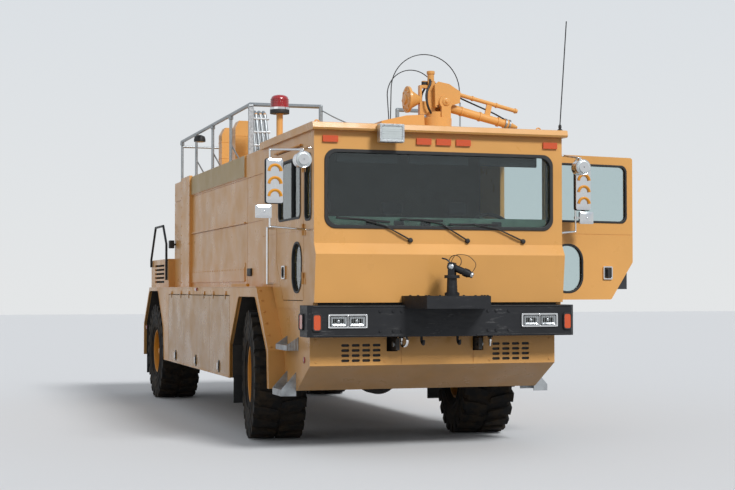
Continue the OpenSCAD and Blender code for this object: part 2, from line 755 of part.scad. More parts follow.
// Bumper: a deep channel with returned ends and a shelf for the nozzle
bumper_end = 210;
module bumper() {
    t = 16;
    color("#1f2023") {
        difference() {
            along_z_bumper(0);
            along_z_bumper(t);
            // Room for the cab's floor and side walls behind the top wall
            box(-cab_half - seat_gap, wall - 8 - seat_gap, bumper_z + bumper_h - t - 1,
                cab_half + seat_gap, 60 + cut, bumper_z + bumper_h + cut);
            // Round the headlamps
            for (s = [RIGHT, LEFT])
                translate([s * 1043, -bumper_out - cut, bumper_z + 160])
                    rotate([-90, 0, 0]) linear_extrude(t + 2 * cut) round_rect(410, 140, 20);
        }
        // Nozzle shelf, a tapered tray turned upside down
        difference() {
            translate([0, 0, shelf_top - shelf_h]) linear_extrude(shelf_h)
                polygon([[-440, -bumper_out], [-341, -shelf_front], [341, -shelf_front],
                         [440, -bumper_out]]);
            translate([0, 0, shelf_top - shelf_h - cut]) linear_extrude(shelf_h + cut - t)
                polygon([[-440 + t, -bumper_out + cut], [-341 + t, -shelf_front + t],
                         [341 - t, -shelf_front + t], [440 - t, -bumper_out + cut]]);
        }
        box(-440, -bumper_out, bumper_z + bumper_h, 440, -20, shelf_top);
        // Returned ends beside the cab
        for (s = [RIGHT, LEFT]) on_side(s) difference() {
            box(cab_half + 4, 60 - cut, bumper_z, bumper_half, bumper_end, bumper_z + bumper_h);
            box(cab_half, 60 - 2 * cut, bumper_z + t, bumper_half - t, bumper_end + cut,
                bumper_z + bumper_h - t);
        }
        // Brackets back to the skirt's face
        for (s = [RIGHT, LEFT]) on_side(s)
            box(rail_x - rail_w / 2, -bumper_out + t, 1260,
                rail_x + rail_w / 2, skirt_y - seat_gap, 1460);
    }
}

module along_z_bumper(t) {
    inner = t > 0;
    translate([0, 0, bumper_z + t]) linear_extrude(bumper_h - 2 * t)
        polygon([[-bumper_half + t, 60 + (inner ? cut : 0)], [-bumper_half + t, -70],
                 [-bumper_half + 40 + t / 2, -bumper_out + t],
                 [bumper_half - 40 - t / 2, -bumper_out + t],
                 [bumper_half - t, -70], [bumper_half - t, 60 + (inner ? cut : 0)]]);
}

// Skirt under the bumper: a face with two slotted grilles, folded back to the rear
skirt_top = cab_z - seat_gap;
skirt_fold = 920;
skirt_low = 640;
GRILLE_X = [-810, 848];
SEAMS_X = [-379, 419];
// Front line of the fender, a little ahead of it
function fender_y(z) = (z < 1040
    ? lookup(z, [[side_outline[0][1], side_outline[0][0]], [1040, side_outline[1][0]]])
    : lookup(z, [[1040, side_outline[1][0]], [ledge_z, side_outline[2][0]]])) - 2 * seat_gap;

module front_skirt() {
    t = skirt_t;
    y = skirt_y;
    color("#dd9c46") difference() {
        union() {
            along_x(-skirt_half, 2 * skirt_half)
                polygon([[y, skirt_top], [y, skirt_fold], [690, skirt_low],
                         [690, skirt_low + t], [y + t, skirt_fold + 8], [y + t, skirt_top]]);
            for (s = [RIGHT, LEFT]) on_side(s) along_x(skirt_half - t, t)
                polygon([[y, skirt_top], [y, skirt_fold], [690, skirt_low],
                         [fender_y(skirt_low), skirt_low], [fender_y(1040), 1040],
                         [fender_y(skirt_top), skirt_top]]);
        }
        // Four columns of four slots on each side
        for (x = GRILLE_X, i = [-1.5:1.5], k = [0:3])
            translate([x + i * 112, 150, 970 + k * 52]) rotate([-90, 0, 0])
                linear_extrude(60) round_rect(86, 28, 13);
        for (s = [RIGHT, LEFT]) on_side(s)
            box(tow_x - 40, y - cut, 1060, tow_x + 80, y + t + cut, 1208);
        // Seams between the skirt's three panels
        for (x = SEAMS_X)
            box(x - 4, y - cut, skirt_fold + 12, x + 4, y + 5, skirt_top + cut);
    }
}

// Folded steps hung on the skirt's sides: each with its front and rear end, the top of its
// tread, its reach from the centre line, the drop of its lip and the rise of its cheeks
STEP_Y0 = 0;
STEP_Y1 = 1;
STEP_Z = 2;
STEP_X = 3;
STEP_LIP = 4;
STEP_RISE = 5;
STEPS = [[620, 1100, 1115, 1480, 54, 87], [720, 1100, 650, 1515, 68, 180]];
module steps() {
    x0 = skirt_half + seat_gap;
    t = 12;
    color("#9aa0a4") for (s = [RIGHT, LEFT], st = STEPS) on_side(s) {
        low = st[STEP_Z] - st[STEP_LIP];
        box(x0, st[STEP_Y0], st[STEP_Z] - t, st[STEP_X], st[STEP_Y1], st[STEP_Z]);
        box(st[STEP_X] - t, st[STEP_Y0], low, st[STEP_X], st[STEP_Y1], st[STEP_Z]);
        for (y = [st[STEP_Y0], st[STEP_Y1] - t])
            along_y(y, t) polygon([[x0, low], [st[STEP_X], low], [st[STEP_X], st[STEP_Z]],
                                   [x0, st[STEP_Z] + st[STEP_RISE]]]);
    }
}

// Galvanised rail round the roof
rail_r = 24;
post_r = 20;
rail_top = 3970;
POSTS_Y = [3340, 4470, 5650, 6850, 8000];
module roof_rails() {
    color("#8b8f92") {
        for (s = [RIGHT, LEFT]) {
            for (y = POSTS_Y) rod([s * 1250, y, tank_top], [s * 1250, y, rail_top], post_r);
            bent_rod([[s * 1250, 8040, rail_top], [s * 1250, 3340, rail_top],
                      [s * 490, 2850, rail_top - 60], [s * 490, 2850, tank_top]], rail_r);
        }
        rod([-1250, 8000, rail_top - 80], [1250, 8000, rail_top - 80], post_r - 3);
    }
}

// Upright ducts and pipes on the roof
module roof_stacks() {
    color("#d9a24e") {
        for (y = [5400, 6300]) along_y(y - 110, 220)
            polygon([[-1010, tank_top], [-1010, 3900], [-960, 4000], [-790, 4000],
                     [-790, tank_top]]);
    }
    color("#cfd2d2") {
        rod([-1100, 3950, tank_top], [-1100, 3950, 4000], 35);
        for (k = [0:3])
            bent_rod([[-850 + k * 60, 4722, tank_top + seat_gap], [-850 + k * 60, 4722, 3400],
                      [-900 + k * 60, 4800, 4030], [-900 + k * 60, 4880, 4070]], 24);
    }
}

// Roof turret: base plate with the swivel ring and a sloped cover, turning head, barrel
swivel_r = 180;
ring_h = 150;
module turret_base() {
    z0 = roof_z + roof_t;
    color("#d9a24e") {
        translate([turret_x, turret_y, z0]) {
            cylinder(r1 = 420, r2 = 330, h = 60);
            cylinder(r = swivel_r + 10, h = ring_h);
        }
        // Sloped cover over the feed pipe, up to the ring
        edge = turret_x - swivel_r - 25;
        along_y(turret_y - 200, 400)
            polygon([[edge - 505, z0], [edge - 501, z0 + 172], [edge - 215, z0 + 242],
                     [edge - 5, z0 + 258], [edge, z0 + ring_h - 8], [edge + 80, z0 + ring_h - 8],
                     [edge + 80, z0]]);
    }
}

module in_turret() translate([turret_x, turret_y, turret_z]) rotate([0, 0, barrel_turn]) children();

head_z = roof_z + roof_t + ring_h + seat_gap;
cheek_in = 88;
module turret_head() {
    low = head_z - turret_z;
    color("#d9a24e") in_turret() {
        translate([0, 0, low]) {
            cylinder(r = swivel_r, h = 90);
            cylinder(r = 110, h = -110 - low);
        }
        // Cheeks with the gusset plates
        for (s = [RIGHT, LEFT])
            on_side(s) difference() {
                union() {
                    box(cheek_in, -pivot_out - 55, low + 80, cheek_in + 40, -pivot_out + 55, 0);
                    translate([cheek_in, -pivot_out, 0]) rotate([0, 90, 0])
                        cylinder(r = 80, h = 40);
                    along_x(cheek_in, 14)
                        polygon([[47, 192], [4, 228], [-125, 205], [-261, 124], [-254, -4],
                                 [-180, -30], [-69, 0], [41, -50]]);
                }
                translate([cheek_in - 8, -pivot_out, 0]) rotate([0, 90, 0])
                    cylinder(r = 30 + run_gap, h = 60);
            }
        // Post, frame and the lamp that faces the rear
        difference() {
            union() {
                box(-32, 16, low + 80, 32, 102, 240);
                box(-cheek_in - 5, 16, -60, cheek_in + 5, 41, 190);
                box(-32, 16, -140, 32, 200, 190);
            }
            box(-40, 102, 10, 40, 176, 160);
        }
        translate([0, 59, 240 - 1]) cylinder(r = 38, h = 80);
        translate([0, 136, 189]) cylinder(r = 32, h = 50);
        translate([0, 199, 25]) rotate([-90, 0, 0]) {
            cylinder(r1 = 45, r2 = 120, h = 121);
            translate([0, 0, 121]) cylinder(r = 145, h = 28);
        }
    }
}

module turret_barrel() {
    tube_z = -32;
    upper_z = 147;
    color("#d9a24e") in_turret() translate([0, -pivot_out, 0]) rotate([barrel_drop, 0, 0]) {
        rotate([0, 90, 0]) cylinder(r = 30, h = 290, center = true);
        rotate([0, 90, 0]) cylinder(r = 66, h = 160, center = true);
        translate([0, -20, tube_z]) rotate([90, 0, 0])
            cylinder(r1 = 52, r2 = 44, h = barrel_l - 186);
        translate([0, 170 - barrel_l, tube_z]) rotate([90, 0, 0]) cylinder(r = 56, h = 74);
        translate([0, 96 - barrel_l, tube_z]) rotate([90, 0, 0])
            cylinder(r1 = 40, r2 = 14, h = 96);
        rod([0, -70, upper_z], [0, 41 - barrel_l, upper_z], 23);
        box(-12, -588, -20, 12, -525, upper_z);
        box(-18, -110, 0, 18, -40, upper_z);
    }
}

// Nozzle on the bumper's shelf
nozzle_y = -300;
shelf_top = 1632;
shelf_h = 127;
nozzle_pin_r = 15;
module nozzle_swivel() {
    axis_h = nozzle_z - shelf_top - seat_gap;
    disc_h = axis_h - 84;
    color("#232425") translate([0, nozzle_y, shelf_top + seat_gap]) rotate([0, 0, nozzle_turn]) {
        cylinder(r = 75, h = 30);
        cylinder(r1 = 57, r2 = 49, h = disc_h - 30);
        translate([0, 0, disc_h - 31]) cylinder(r = 78, h = 31);
        for (s = [RIGHT, LEFT]) on_side(s) difference() {
            box(45, -34, disc_h - 10, 66, 34, axis_h + 40);
            translate([40, 0, axis_h]) rotate([0, 90, 0])
                cylinder(r = nozzle_pin_r + run_gap, h = 40);
        }
    }
}

module bumper_nozzle() {
    color("#232425") translate([0, nozzle_y, nozzle_z]) rotate([0, 0, nozzle_turn])
        rotate([nozzle_drop, 0, 0]) {
            rotate([0, 90, 0]) cylinder(r = nozzle_pin_r, h = 150, center = true);
            rotate([0, 90, 0]) cylinder(r = 38, h = 80, center = true);
            rotate([90, 0, 0]) cylinder(r = 35, h = 130);
            rotate([90, 0, 0]) cylinder(r = 27, h = 226);
            // Cable loop over the hub
            translate([0, -10, 62]) rotate([0, 90, 0])
                rotate_extrude() translate([62, 0]) circle(r = 4);
        }
}

// Mirrors on tube arms, with the grab bars behind the doors
grab_y = 1730;
module mirrors() {
    color("#aeb4b8") {
        on_side(RIGHT) mirror_arm(RIGHT_MIRROR);
        on_side(LEFT) mirror_arm(LEFT_MIRROR);
    }
    color("#aeb4b8") for (s = [RIGHT, LEFT]) on_side(s)
        bent_rod([[cab_half + seat_gap, grab_y, 2380], [cab_half + 60, grab_y, 2380],
                  [cab_half + 60, grab_y, 1760], [cab_half + seat_gap, grab_y, 1760]], 14);
}

// One side's mirrors: the bent tube, a tall and a wide mirror, and a round lamp
arm_z = 3085;
module mirror_arm(m) {
    x = m[MIR_X];
    y = m[MIR_Y];
    r = 10;
    foot = cab_half + seat_gap;
    bent_rod([[foot, 60, 3120], [foot + 50, 60, 3120], [1500, -100, arm_z], [x, y, arm_z],
              [x, y, 2320], [foot + 50, 150, 2300], [foot, 150, 2300]], r);
    tall = m[MIR_TALL];
    box(tall - 78, y - 42, 2560, tall + 79, y, 2985);
    wide = m[MIR_WIDE];
    box(wide - wide_mirror_w / 2, y - 30, 2405, wide + wide_mirror_w / 2, y - 2, 2530);
    box(wide - 52, y - 42, 2428, wide + 52, y - 30, 2507);
    box(x, y - 8, 2455, wide, y + 8, 2480);
    translate([1520, -60, 2980]) rotate([90, 0, 0]) {
        cylinder(r = 78, h = 130);
        cylinder(r = 55, h = 150);
    }
    box(1508, -118, 3040, 1532, -80, arm_z + 4);
}

module headlamps() {
    color("#c9cdd0") {
        for (s = [RIGHT, LEFT])
            translate([s * 1043, -bumper_out - 18, bumper_z + 160]) rotate([-90, 0, 0]) {
                difference() {
                    linear_extrude(60)
                        round_rect(410 - 2 * seat_gap, 140 - 2 * seat_gap, 20 - seat_gap);
                    for (k = [-1, 1]) translate([k * 96, 0, -cut])
                        linear_extrude(52 + cut) round_rect(184, 112, 14);
                }
                for (k = [-1, 1]) translate([k * 96, 0, 16])
                    linear_extrude(40) round_rect(180, 108, 12);
            }
        // Work lamp over the windscreen, on its bracket
        box(-727, -175, 3180, -465, -92, 3364);
        box(-640, -93, 3200, -552, -seat_gap, 3280);
    }
}

// Orange lamps, by their middles across the front, and the markers on the bumper's ends
ROOF_LAMPS_X = [-1195, -196, 20, 238, 1219];
module amber_lamps() {
    color("#e8641e") {
        for (x = ROOF_LAMPS_X) box(x - 80, -22, 3180, x + 80, 0, 3245);
        for (s = [RIGHT, LEFT]) on_side(s) {
            translate([1361, -bumper_out, 1367]) rotate([90, 0, 0])
                linear_extrude(16) round_rect(78, 155, 18);
            translate([bumper_half, 127, 1370]) rotate([90, 0, 90])
                linear_extrude(12) round_rect(135, 148, 18);
        }
    }
}

module beacon() {
    color("#b02018") translate([-1140, tank_front + 60, tank_top]) {
        cylinder(r = 38, h = 410);
        translate([0, 0, 405]) cylinder(r = 112, h = 75);
        translate([0, 0, 479]) rotate_extrude()
            polygon([[0, 0], [108, 0], [105, 90], [92, 124], [60, 140], [0, 146]]);
    }
}

// Antennas: a straight whip on the front corner, and two long ones bent over and tied down
// behind the turret
function arc(x, z, r, a0, a1, n) = [for (i = [0:n])
    let (a = a0 + (a1 - a0) * i / n) [x + r * cos(a), z + r * sin(a)]];
WHIP_A = concat([[140, 3400]], arc(585, 4050, 430, 180, 0, 14));
WHIP_B = concat([[162, 3400]], arc(430, 3990, 305, 180, 55, 9), [[1050, 3925]]);
whip_w = 12;
module tied_whip(y, pts) {
    end = pts[len(pts) - 1];
    z0 = roof_z + roof_t;
    translate([pts[0][0], y, z0]) cylinder(r = 22, h = 50);
    along_y(y - whip_w / 2, whip_w) strip(pts, whip_w);
    box(end[0] - 3, y - 3, z0, end[0] + 3, y + 3, end[1] + 2);
    box(end[0] - 14, y - 10, z0, end[0] + 14, y + 10, z0 + 20);
}

module antennas() {
    color("#202020") {
        translate([1360, 40, roof_z + roof_t]) cylinder(r = 28, h = 50);
        along_y(40 - whip_w / 2, whip_w)
            polygon([[1352, roof_z + roof_t], [1432, 4560], [1444, 4560], [1368, roof_z + roof_t]]);
        tied_whip(cab_len - 120, WHIP_A);
        tied_whip(cab_len - 65, WHIP_B);
    }
}

// Three wipers at rest on the windscreen's lower edge, by the points in x and z of the
// pivot, the arm's knee and the blade's two ends
WIPERS = [[[-343, 2198], [-616, 2341], [-1134, 2420], [-562, 2382]],
          [[283, 2198], [-9, 2370], [-455, 2410], [13, 2401]],
          [[907, 2198], [613, 2326], [90, 2366], [624, 2368]]];
module wipers() {
    color("#1a1a1a") for (w = WIPERS) {
        translate([w[0][0], 0, w[0][1]]) rotate([90, 0, 0]) cylinder(r = 26, h = 30);
        along_y(-28, 10) strip([w[0], w[1], (w[2] + w[3]) / 2], 14);
        along_y(-24, 20) strip([w[3], w[2]], 20);
    }
}

seat_in_box() chassis_frame();
seat_in_box() engine();
seat_in_box() front_axle();
seat_in_box() rear_axle();
seat_in_box() springs();
seat_in_box() driveline();
seat_in_box() knuckle(RIGHT);  // knuckle_right
seat_in_box() knuckle(LEFT);  // knuckle_left
seat_in_box() front_wheel(RIGHT) tyre();  // tyre_front_right
seat_in_box() front_wheel(LEFT) tyre();  // tyre_front_left
seat_in_box() rear_wheel(RIGHT) tyre();  // tyre_rear_right
seat_in_box() rear_wheel(LEFT) tyre();  // tyre_rear_left
seat_in_box() front_wheel(RIGHT) rim(RIGHT);  // rim_front_right
seat_in_box() front_wheel(LEFT) rim(LEFT);  // rim_front_left
seat_in_box() rear_wheel(RIGHT) rim(RIGHT);  // rim_rear_right
seat_in_box() rear_wheel(LEFT) rim(LEFT);  // rim_rear_left
seat_in_box() cab_front();
seat_in_box() cab_side(RIGHT);  // cab_side_right
seat_in_box() cab_side(LEFT);  // cab_side_left
seat_in_box() cab_tub();
seat_in_box() cab_roof();
seat_in_box() cab_glass();
seat_in_box() seats();
seat_in_box() dashboard();
seat_in_box() on_side(RIGHT) color("#c98f43") door_panel();  // door_right
seat_in_box() swung_open() color("#c98f43") door_panel();  // door_left
seat_in_box() on_side(RIGHT) color("#9fb9bd", 0.4) door_panes();  // door_glass_right
seat_in_box() swung_open() color("#9fb9bd", 0.4) door_panes();  // door_glass_left
seat_in_box() body_side(RIGHT);  // body_right
seat_in_box() body_side(LEFT);  // body_left
seat_in_box() lid(RIGHT, 0);  // lid_right_1
seat_in_box() lid(RIGHT, 1);  // lid_right_2
seat_in_box() lid(RIGHT, 2);  // lid_right_3
seat_in_box() lid(LEFT, 0);  // lid_left_1
seat_in_box() lid(LEFT, 1);  // lid_left_2
seat_in_box() lid(LEFT, 2);  // lid_left_3
seat_in_box() tank_body();
seat_in_box() rear_deck();
seat_in_box() bumper();
seat_in_box() front_skirt();
seat_in_box() steps();
seat_in_box() roof_rails();
seat_in_box() roof_stacks();
seat_in_box() turret_base();
seat_in_box() turret_head();
seat_in_box() turret_barrel();
seat_in_box() nozzle_swivel();
seat_in_box() bumper_nozzle();
seat_in_box() mirrors();
seat_in_box() headlamps();
seat_in_box() amber_lamps();
seat_in_box() beacon();
seat_in_box() antennas();
seat_in_box() wipers();
seat_in_box() deck_rails();
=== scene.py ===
"""Airport fire truck: finishes, trim, lamps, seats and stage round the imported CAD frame."""
import math

import bpy
from bpy.props import FloatProperty, FloatVectorProperty, IntProperty, PointerProperty
from mathutils import Matrix, Vector


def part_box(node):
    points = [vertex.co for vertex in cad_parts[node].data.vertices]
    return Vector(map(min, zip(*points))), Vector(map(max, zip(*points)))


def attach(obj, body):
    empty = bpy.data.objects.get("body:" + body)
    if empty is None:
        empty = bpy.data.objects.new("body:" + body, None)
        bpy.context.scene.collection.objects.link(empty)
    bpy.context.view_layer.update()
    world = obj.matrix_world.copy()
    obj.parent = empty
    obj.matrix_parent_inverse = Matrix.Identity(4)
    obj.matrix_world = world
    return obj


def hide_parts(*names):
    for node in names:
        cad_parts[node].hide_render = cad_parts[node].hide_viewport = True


bl_info = {
    "name": "Airport fire truck",
    "version": (1, 0, 0),
    "blender": (4, 5, 0),
    "location": "3D Viewport > Sidebar > Fire truck",
    "description": "Dresses the packed airport fire truck with finishes, trim, lamps and seats",
    "category": "Object",
}

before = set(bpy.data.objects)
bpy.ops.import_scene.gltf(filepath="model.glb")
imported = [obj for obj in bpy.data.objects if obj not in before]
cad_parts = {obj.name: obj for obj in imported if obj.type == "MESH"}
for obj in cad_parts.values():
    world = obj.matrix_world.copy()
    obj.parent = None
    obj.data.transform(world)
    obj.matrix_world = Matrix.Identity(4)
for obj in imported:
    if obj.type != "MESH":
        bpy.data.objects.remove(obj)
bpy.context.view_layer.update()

# The frame's origin lies under the middle of the whole box. The pieces here are placed in
# the vehicle's own millimetres: x = 0 on its centre line with its left at +x, y = 0 on the
# cab's flat front with +y to the rear, z = 0 on the ground.
MM = 0.001
NOSE_OUT = 68
RIGHT, LEFT = -1, 1
SIDES = ((RIGHT, "right"), (LEFT, "left"))
_low, _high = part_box("cab_front")
CENTRE_X = (_low.x + _high.x) / 2
FRONT_Y = _low.y + NOSE_OUT * MM


def at(x, y, z):
    """A place in the frame, in metres, from the vehicle's millimetres."""
    return Vector((CENTRE_X + x * MM, FRONT_Y + y * MM, z * MM))


def local(*numbers):
    """A point in a body's own millimetres."""
    return Vector(numbers) * MM


def moved(x, y, z):
    """A move to a place given in the vehicle's millimetres."""
    return Matrix.Translation(at(x, y, z))


def shift(x, y, z):
    """A move by millimetres along a body's own axes."""
    return Matrix.Translation(local(x, y, z))


def turn(angle, axis):
    """A turn in degrees about an axis."""
    return Matrix.Rotation(math.radians(angle), 4, axis)


# Turns for a piece that stands along +z: out of the truck's front, its rear or a side
FRONT_FACE = turn(90, "X")
REAR_FACE = turn(-90, "X")


def side_face(side):
    return turn(90 * side, "Y")


def side_turn(side):
    """Turns a piece made in x and z, facing -y, so that it faces out of the named side."""
    return turn(90 * side, "Z")


def around(place, count, axis, x, y, z, first=0):
    """Places evenly round an axis of a place, the first of them shifted to x, y and z."""
    return [place @ turn(first + 360 / count * k, axis) @ shift(x, y, z) for k in range(count)]


# Places of the bodies that are parked turned, all from the CAD
CAB_HALF, HINGE_X, HINGE_Y, DOOR_OPEN = 1361, 1373, 396, 81
KINGPIN_X, FRONT_AXLE_Y, REAR_AXLE_Y, STEER_REST = 1050, 2190, 8800, -7
TRACK_HALF, TYRE_R = 1230, 728
TURRET = (420, 1300, 3800)
PIVOT_OUT, BARREL_TURN, BARREL_DROP = 80, 90, 13
NOZZLE = (0, -300, 1925)
NOZZLE_TURN, NOZZLE_DROP = 60, 23


def head_place():
    """The turret head's own axes, with its front toward -y."""
    return moved(*TURRET) @ turn(BARREL_TURN, "Z")


def barrel_place():
    """The barrel's own axes at its pivot, with the tip toward -y."""
    return head_place() @ shift(0, -PIVOT_OUT, 0) @ turn(BARREL_DROP, "X")


def door_place(side):
    """Takes a closed door's places in the frame to where that door is parked."""
    if side == RIGHT:
        return Matrix.Identity(4)
    hinge = moved(HINGE_X, HINGE_Y, 0)
    return hinge @ turn(-DOOR_OPEN, "Z") @ hinge.inverted()


def wheel_place(side, front):
    """A wheel's own axes at its middle: +x points out of the truck."""
    mirror = Matrix.Diagonal((side, 1, 1, 1))
    if not front:
        return moved(side * TRACK_HALF, REAR_AXLE_Y, TYRE_R) @ mirror
    kingpin = moved(side * KINGPIN_X, FRONT_AXLE_Y, TYRE_R)
    return kingpin @ turn(STEER_REST, "Z") @ shift(side * (TRACK_HALF - KINGPIN_X), 0, 0) @ mirror


# Sizes and colours that a user would change


def linear(code):
    """Linear colour of an sRGB hex value."""
    parts = [int(code[i:i + 2], 16) / 255 for i in (1, 3, 5)]
    return [p / 12.92 if p <= 0.04045 else ((p + 0.055) / 1.055) ** 2.4 for p in parts]


def colour_property(name, description, code):
    return FloatVectorProperty(name=name, description=description, subtype="COLOR", size=3,
                               min=0, max=1, default=linear(code))


class TruckFinish(bpy.types.PropertyGroup):
    coach: colour_property("Coach paint", "Golden yellow of the cab and body", "#DCA35C")
    # Lid colour: the coach yellow darkened. This is painted shade for the dark ground that the
    # glossy lids reflect.
    lid: colour_property("Lid paint", "Yellow of the locker lids, darkened as painted shade", "#BD8A40")
    wheel: colour_property("Wheel paint", "Golden yellow of the rims", "#DB9326")
    bumper: colour_property("Bumper paint", "Black of the bumper and rails", "#101114")
    dust: colour_property("Dust", "Dry dust low on the truck", "#9A7C55")
    glass: colour_property("Glass", "Tint of the window panes", "#C3D5D6")
    lens: colour_property("Amber lens", "Orange of the marker lamps", "#EE5A1A")
    dome: colour_property("Beacon dome", "Red of the beacon", "#B3141C")
    lining: colour_property("Lining", "Dark grey of the cab floor and walls", "#3C3D3C")
    cloth: colour_property("Seat cloth", "Dark woven cloth of the seats", "#2C3038")


class TruckSizes(bpy.types.PropertyGroup):
    bolt: FloatProperty(name="Bolt width", description="Across the flats of the body bolts",
                        default=0.024, min=0.01, max=0.05, unit="LENGTH")
    gasket: FloatProperty(name="Gasket band", description="Width of the window rubbers",
                          default=0.028, min=0.01, max=0.08, unit="LENGTH")
    rivet_pitch: FloatProperty(name="Rivet pitch", description="Distance between rivets",
                               default=0.16, min=0.05, max=0.5, unit="LENGTH")
    wheel_nuts: IntProperty(name="Wheel nuts", description="Nuts on each wheel",
                            default=10, min=6, max=20)


class TruckStage(bpy.types.PropertyGroup):
    floor: FloatProperty(name="Floor", description="Size of the pale floor", default=160,
                         min=20, max=400, unit="LENGTH")
    key: FloatProperty(name="Key light", description="Strength of the soft main light",
                       default=2.5, min=0, max=10)
    sky: FloatProperty(name="Sky light", description="Strength of the even light all round",
                       default=0.5, min=0, max=3)


# Materials


class Nodes:
    """A node tree and its shader, with the few kinds of node that the finishes use."""

    def __init__(self, owner, shader="Principled BSDF"):
        owner.use_nodes = True
        self.tree = owner.node_tree
        self.shader = self.tree.nodes[shader]

    def add(self, kind, inputs=None, **settings):
        """Adds a node with its settings, and sets or links its inputs."""
        made = self.tree.nodes.new(kind)
        for key, value in settings.items():
            setattr(made, key, value)
        for key, value in (inputs or {}).items():
            if isinstance(value, bpy.types.NodeSocket):
                self.tree.links.new(value, made.inputs[key])
            else:
                made.inputs[key].default_value = value
        return made

    def place(self, kind="Object"):
        return self.add("ShaderNodeTexCoord").outputs[kind]

    def noise(self, scale, detail=4, rough=0.55, stretch=(1, 1, 1)):
        """A noise with its grain given as repeats a metre."""
        place = self.add("ShaderNodeMapping", {"Vector": self.place(), "Scale": stretch})
        return self.add("ShaderNodeTexNoise", {"Vector": place.outputs[0], "Scale": scale,
                                               "Detail": detail, "Roughness": rough}).outputs[0]

    def wave(self, scale, direction):
        """Even waves 0.314 / scale metres apart."""
        return self.add("ShaderNodeTexWave", {"Vector": self.place(), "Scale": scale},
                        bands_direction=direction).outputs[1]

    def cells(self, scale, output):
        """A pattern of cells, 1 / scale metres across."""
        return self.add("ShaderNodeTexVoronoi",
                        {"Vector": self.place(), "Scale": scale}).outputs[output]

    def ranged(self, value, a, b, to_a=0.0, to_b=1.0):
        """Maps a value's range from a..b to another range, held at its ends."""
        return self.add("ShaderNodeMapRange", {"Value": value, "From Min": a, "From Max": b,
                                               "To Min": to_a, "To Max": to_b}).outputs[0]

    def maths(self, operation, a, b):
        return self.add("ShaderNodeMath", {0: a, 1: b}, operation=operation).outputs[0]

    def mixed(self, factor, a, b):
        """Mixes two colours, each a colour value or a socket."""
        a, b = [c if isinstance(c, bpy.types.NodeSocket) else (*c, 1) for c in (a, b)]
        return self.add("ShaderNodeMix", {0: factor, 6: a, 7: b}, data_type="RGBA").outputs[2]

    def relief(self, height, strength, distance, **under):
        """A bump of a height, the distance in metres, over another one if Normal is given."""
        return self.add("ShaderNodeBump", {"Height": height, "Strength": strength,
                                           "Distance": distance, **under}).outputs[0]

    def feed(self, **sockets):
        """Sets or links the shader's own sockets, each named with _ for a space."""
        for key, value in sockets.items():
            socket = self.shader.inputs[key.replace("_", " ")]
            if isinstance(value, bpy.types.NodeSocket):
                self.tree.links.new(value, socket)
            else:
                socket.default_value = value

    def seen_ray(self):
        """One for rays from the camera, from gloss and through glass."""
        rays = self.add("ShaderNodeLightPath").outputs
        return self.maths("MAXIMUM", rays["Is Camera Ray"],
                         self.maths("MAXIMUM", rays["Is Glossy Ray"],
                                   rays["Is Transmission Ray"]))


def start(name, colour, **sockets):
    """A material with its shader's own sockets set; returns it and its nodes."""
    material = bpy.data.materials.new(name)
    nodes = Nodes(material)
    nodes.feed(Base_Color=(*colour, 1), **sockets)
    return material, nodes


def shade(colour, amount):
    """A colour made darker or lighter."""
    return [min(1, c * amount) for c in colour]


def coach_enamel(name, colour, dust, gloss=0.30):
    """Two-pack coach enamel on sheet steel. Sprayed by hand it has a faint orange peel about
    4 mm across, the sheet under it is slightly wavy, and sun and rain leave it a little
    faded in upright streaks. Dust lies on it, thickest near the ground, in soft patches."""
    material, n = start(name, colour, Roughness=gloss, Coat_Weight=0.12, Coat_Roughness=0.1,
                        Specular_IOR_Level=0.32)
    body = n.mixed(n.ranged(n.noise(0.9, 3), 0.3, 0.7), shade(colour, 0.93),
                   shade(colour, 1.06))
    streaks = n.ranged(n.noise(9, 5, 0.6, (1, 1, 0.07)), 0.6, 0.85, 0, 0.16)
    body = n.mixed(streaks, body, shade(colour, 0.66))
    specks = n.ranged(n.noise(60, 2, 0.7), 0.74, 0.82, 0, 0.25)
    body = n.mixed(specks, body, shade(colour, 0.5))
    height = n.add("ShaderNodeSeparateXYZ", {0: n.place()}).outputs["Z"]
    patches = n.ranged(n.noise(5, 8, 0.6), 0.3, 0.7, 0.35, 1)
    dusty = n.maths("MULTIPLY", n.ranged(height, 0.55, 1.5, 0.3, 0), patches)
    waves = n.relief(n.noise(2.2, 2, 0.4), 0.22, 0.012)
    n.feed(Base_Color=n.mixed(dusty, body, dust),
           Roughness=n.ranged(n.noise(3.1, 6), 0.3, 0.75, gloss - 0.07, gloss + 0.2),
           Normal=n.relief(n.noise(240, 2, 0.5), 0.1, 0.0006, Normal=waves))
    return material


def worn_enamel(name, colour, bare, gloss=0.45):
    """Black enamel on thick plate, scuffed: shallow scratches along its length show grey
    primer, and dust lies on it."""
    material, n = start(name, colour, Roughness=gloss, Specular_IOR_Level=0.35)
    scuffs = n.noise(26, 6, 0.7, (0.22, 1, 1))
    patches = n.noise(2.4, 3)
    worn = n.maths("MULTIPLY", n.ranged(scuffs, 0.56, 0.7), n.ranged(patches, 0.45, 0.65))
    body = n.mixed(n.ranged(patches, 0.3, 0.7), colour, shade(colour, 2.0))
    n.feed(Base_Color=n.mixed(worn, body, bare),
           Roughness=n.ranged(scuffs, 0.3, 0.7, gloss - 0.12, gloss + 0.25),
           Normal=n.relief(n.noise(70, 3), 0.2, 0.001))
    return material


def vulcanised_rubber(name, colour, dust):
    """Tyre rubber from a mould: matt, near black, with a fine pebbled skin about 3 mm across
    and dry dust rubbed into it."""
    material, n = start(name, colour, Roughness=0.86, Specular_IOR_Level=0.3)
    rubbed = n.ranged(n.noise(7, 8, 0.65), 0.42, 0.75, 0, 0.5)
    n.feed(Base_Color=n.mixed(rubbed, colour, dust),
           Normal=n.relief(n.noise(300, 3), 0.35, 0.0015))
    return material


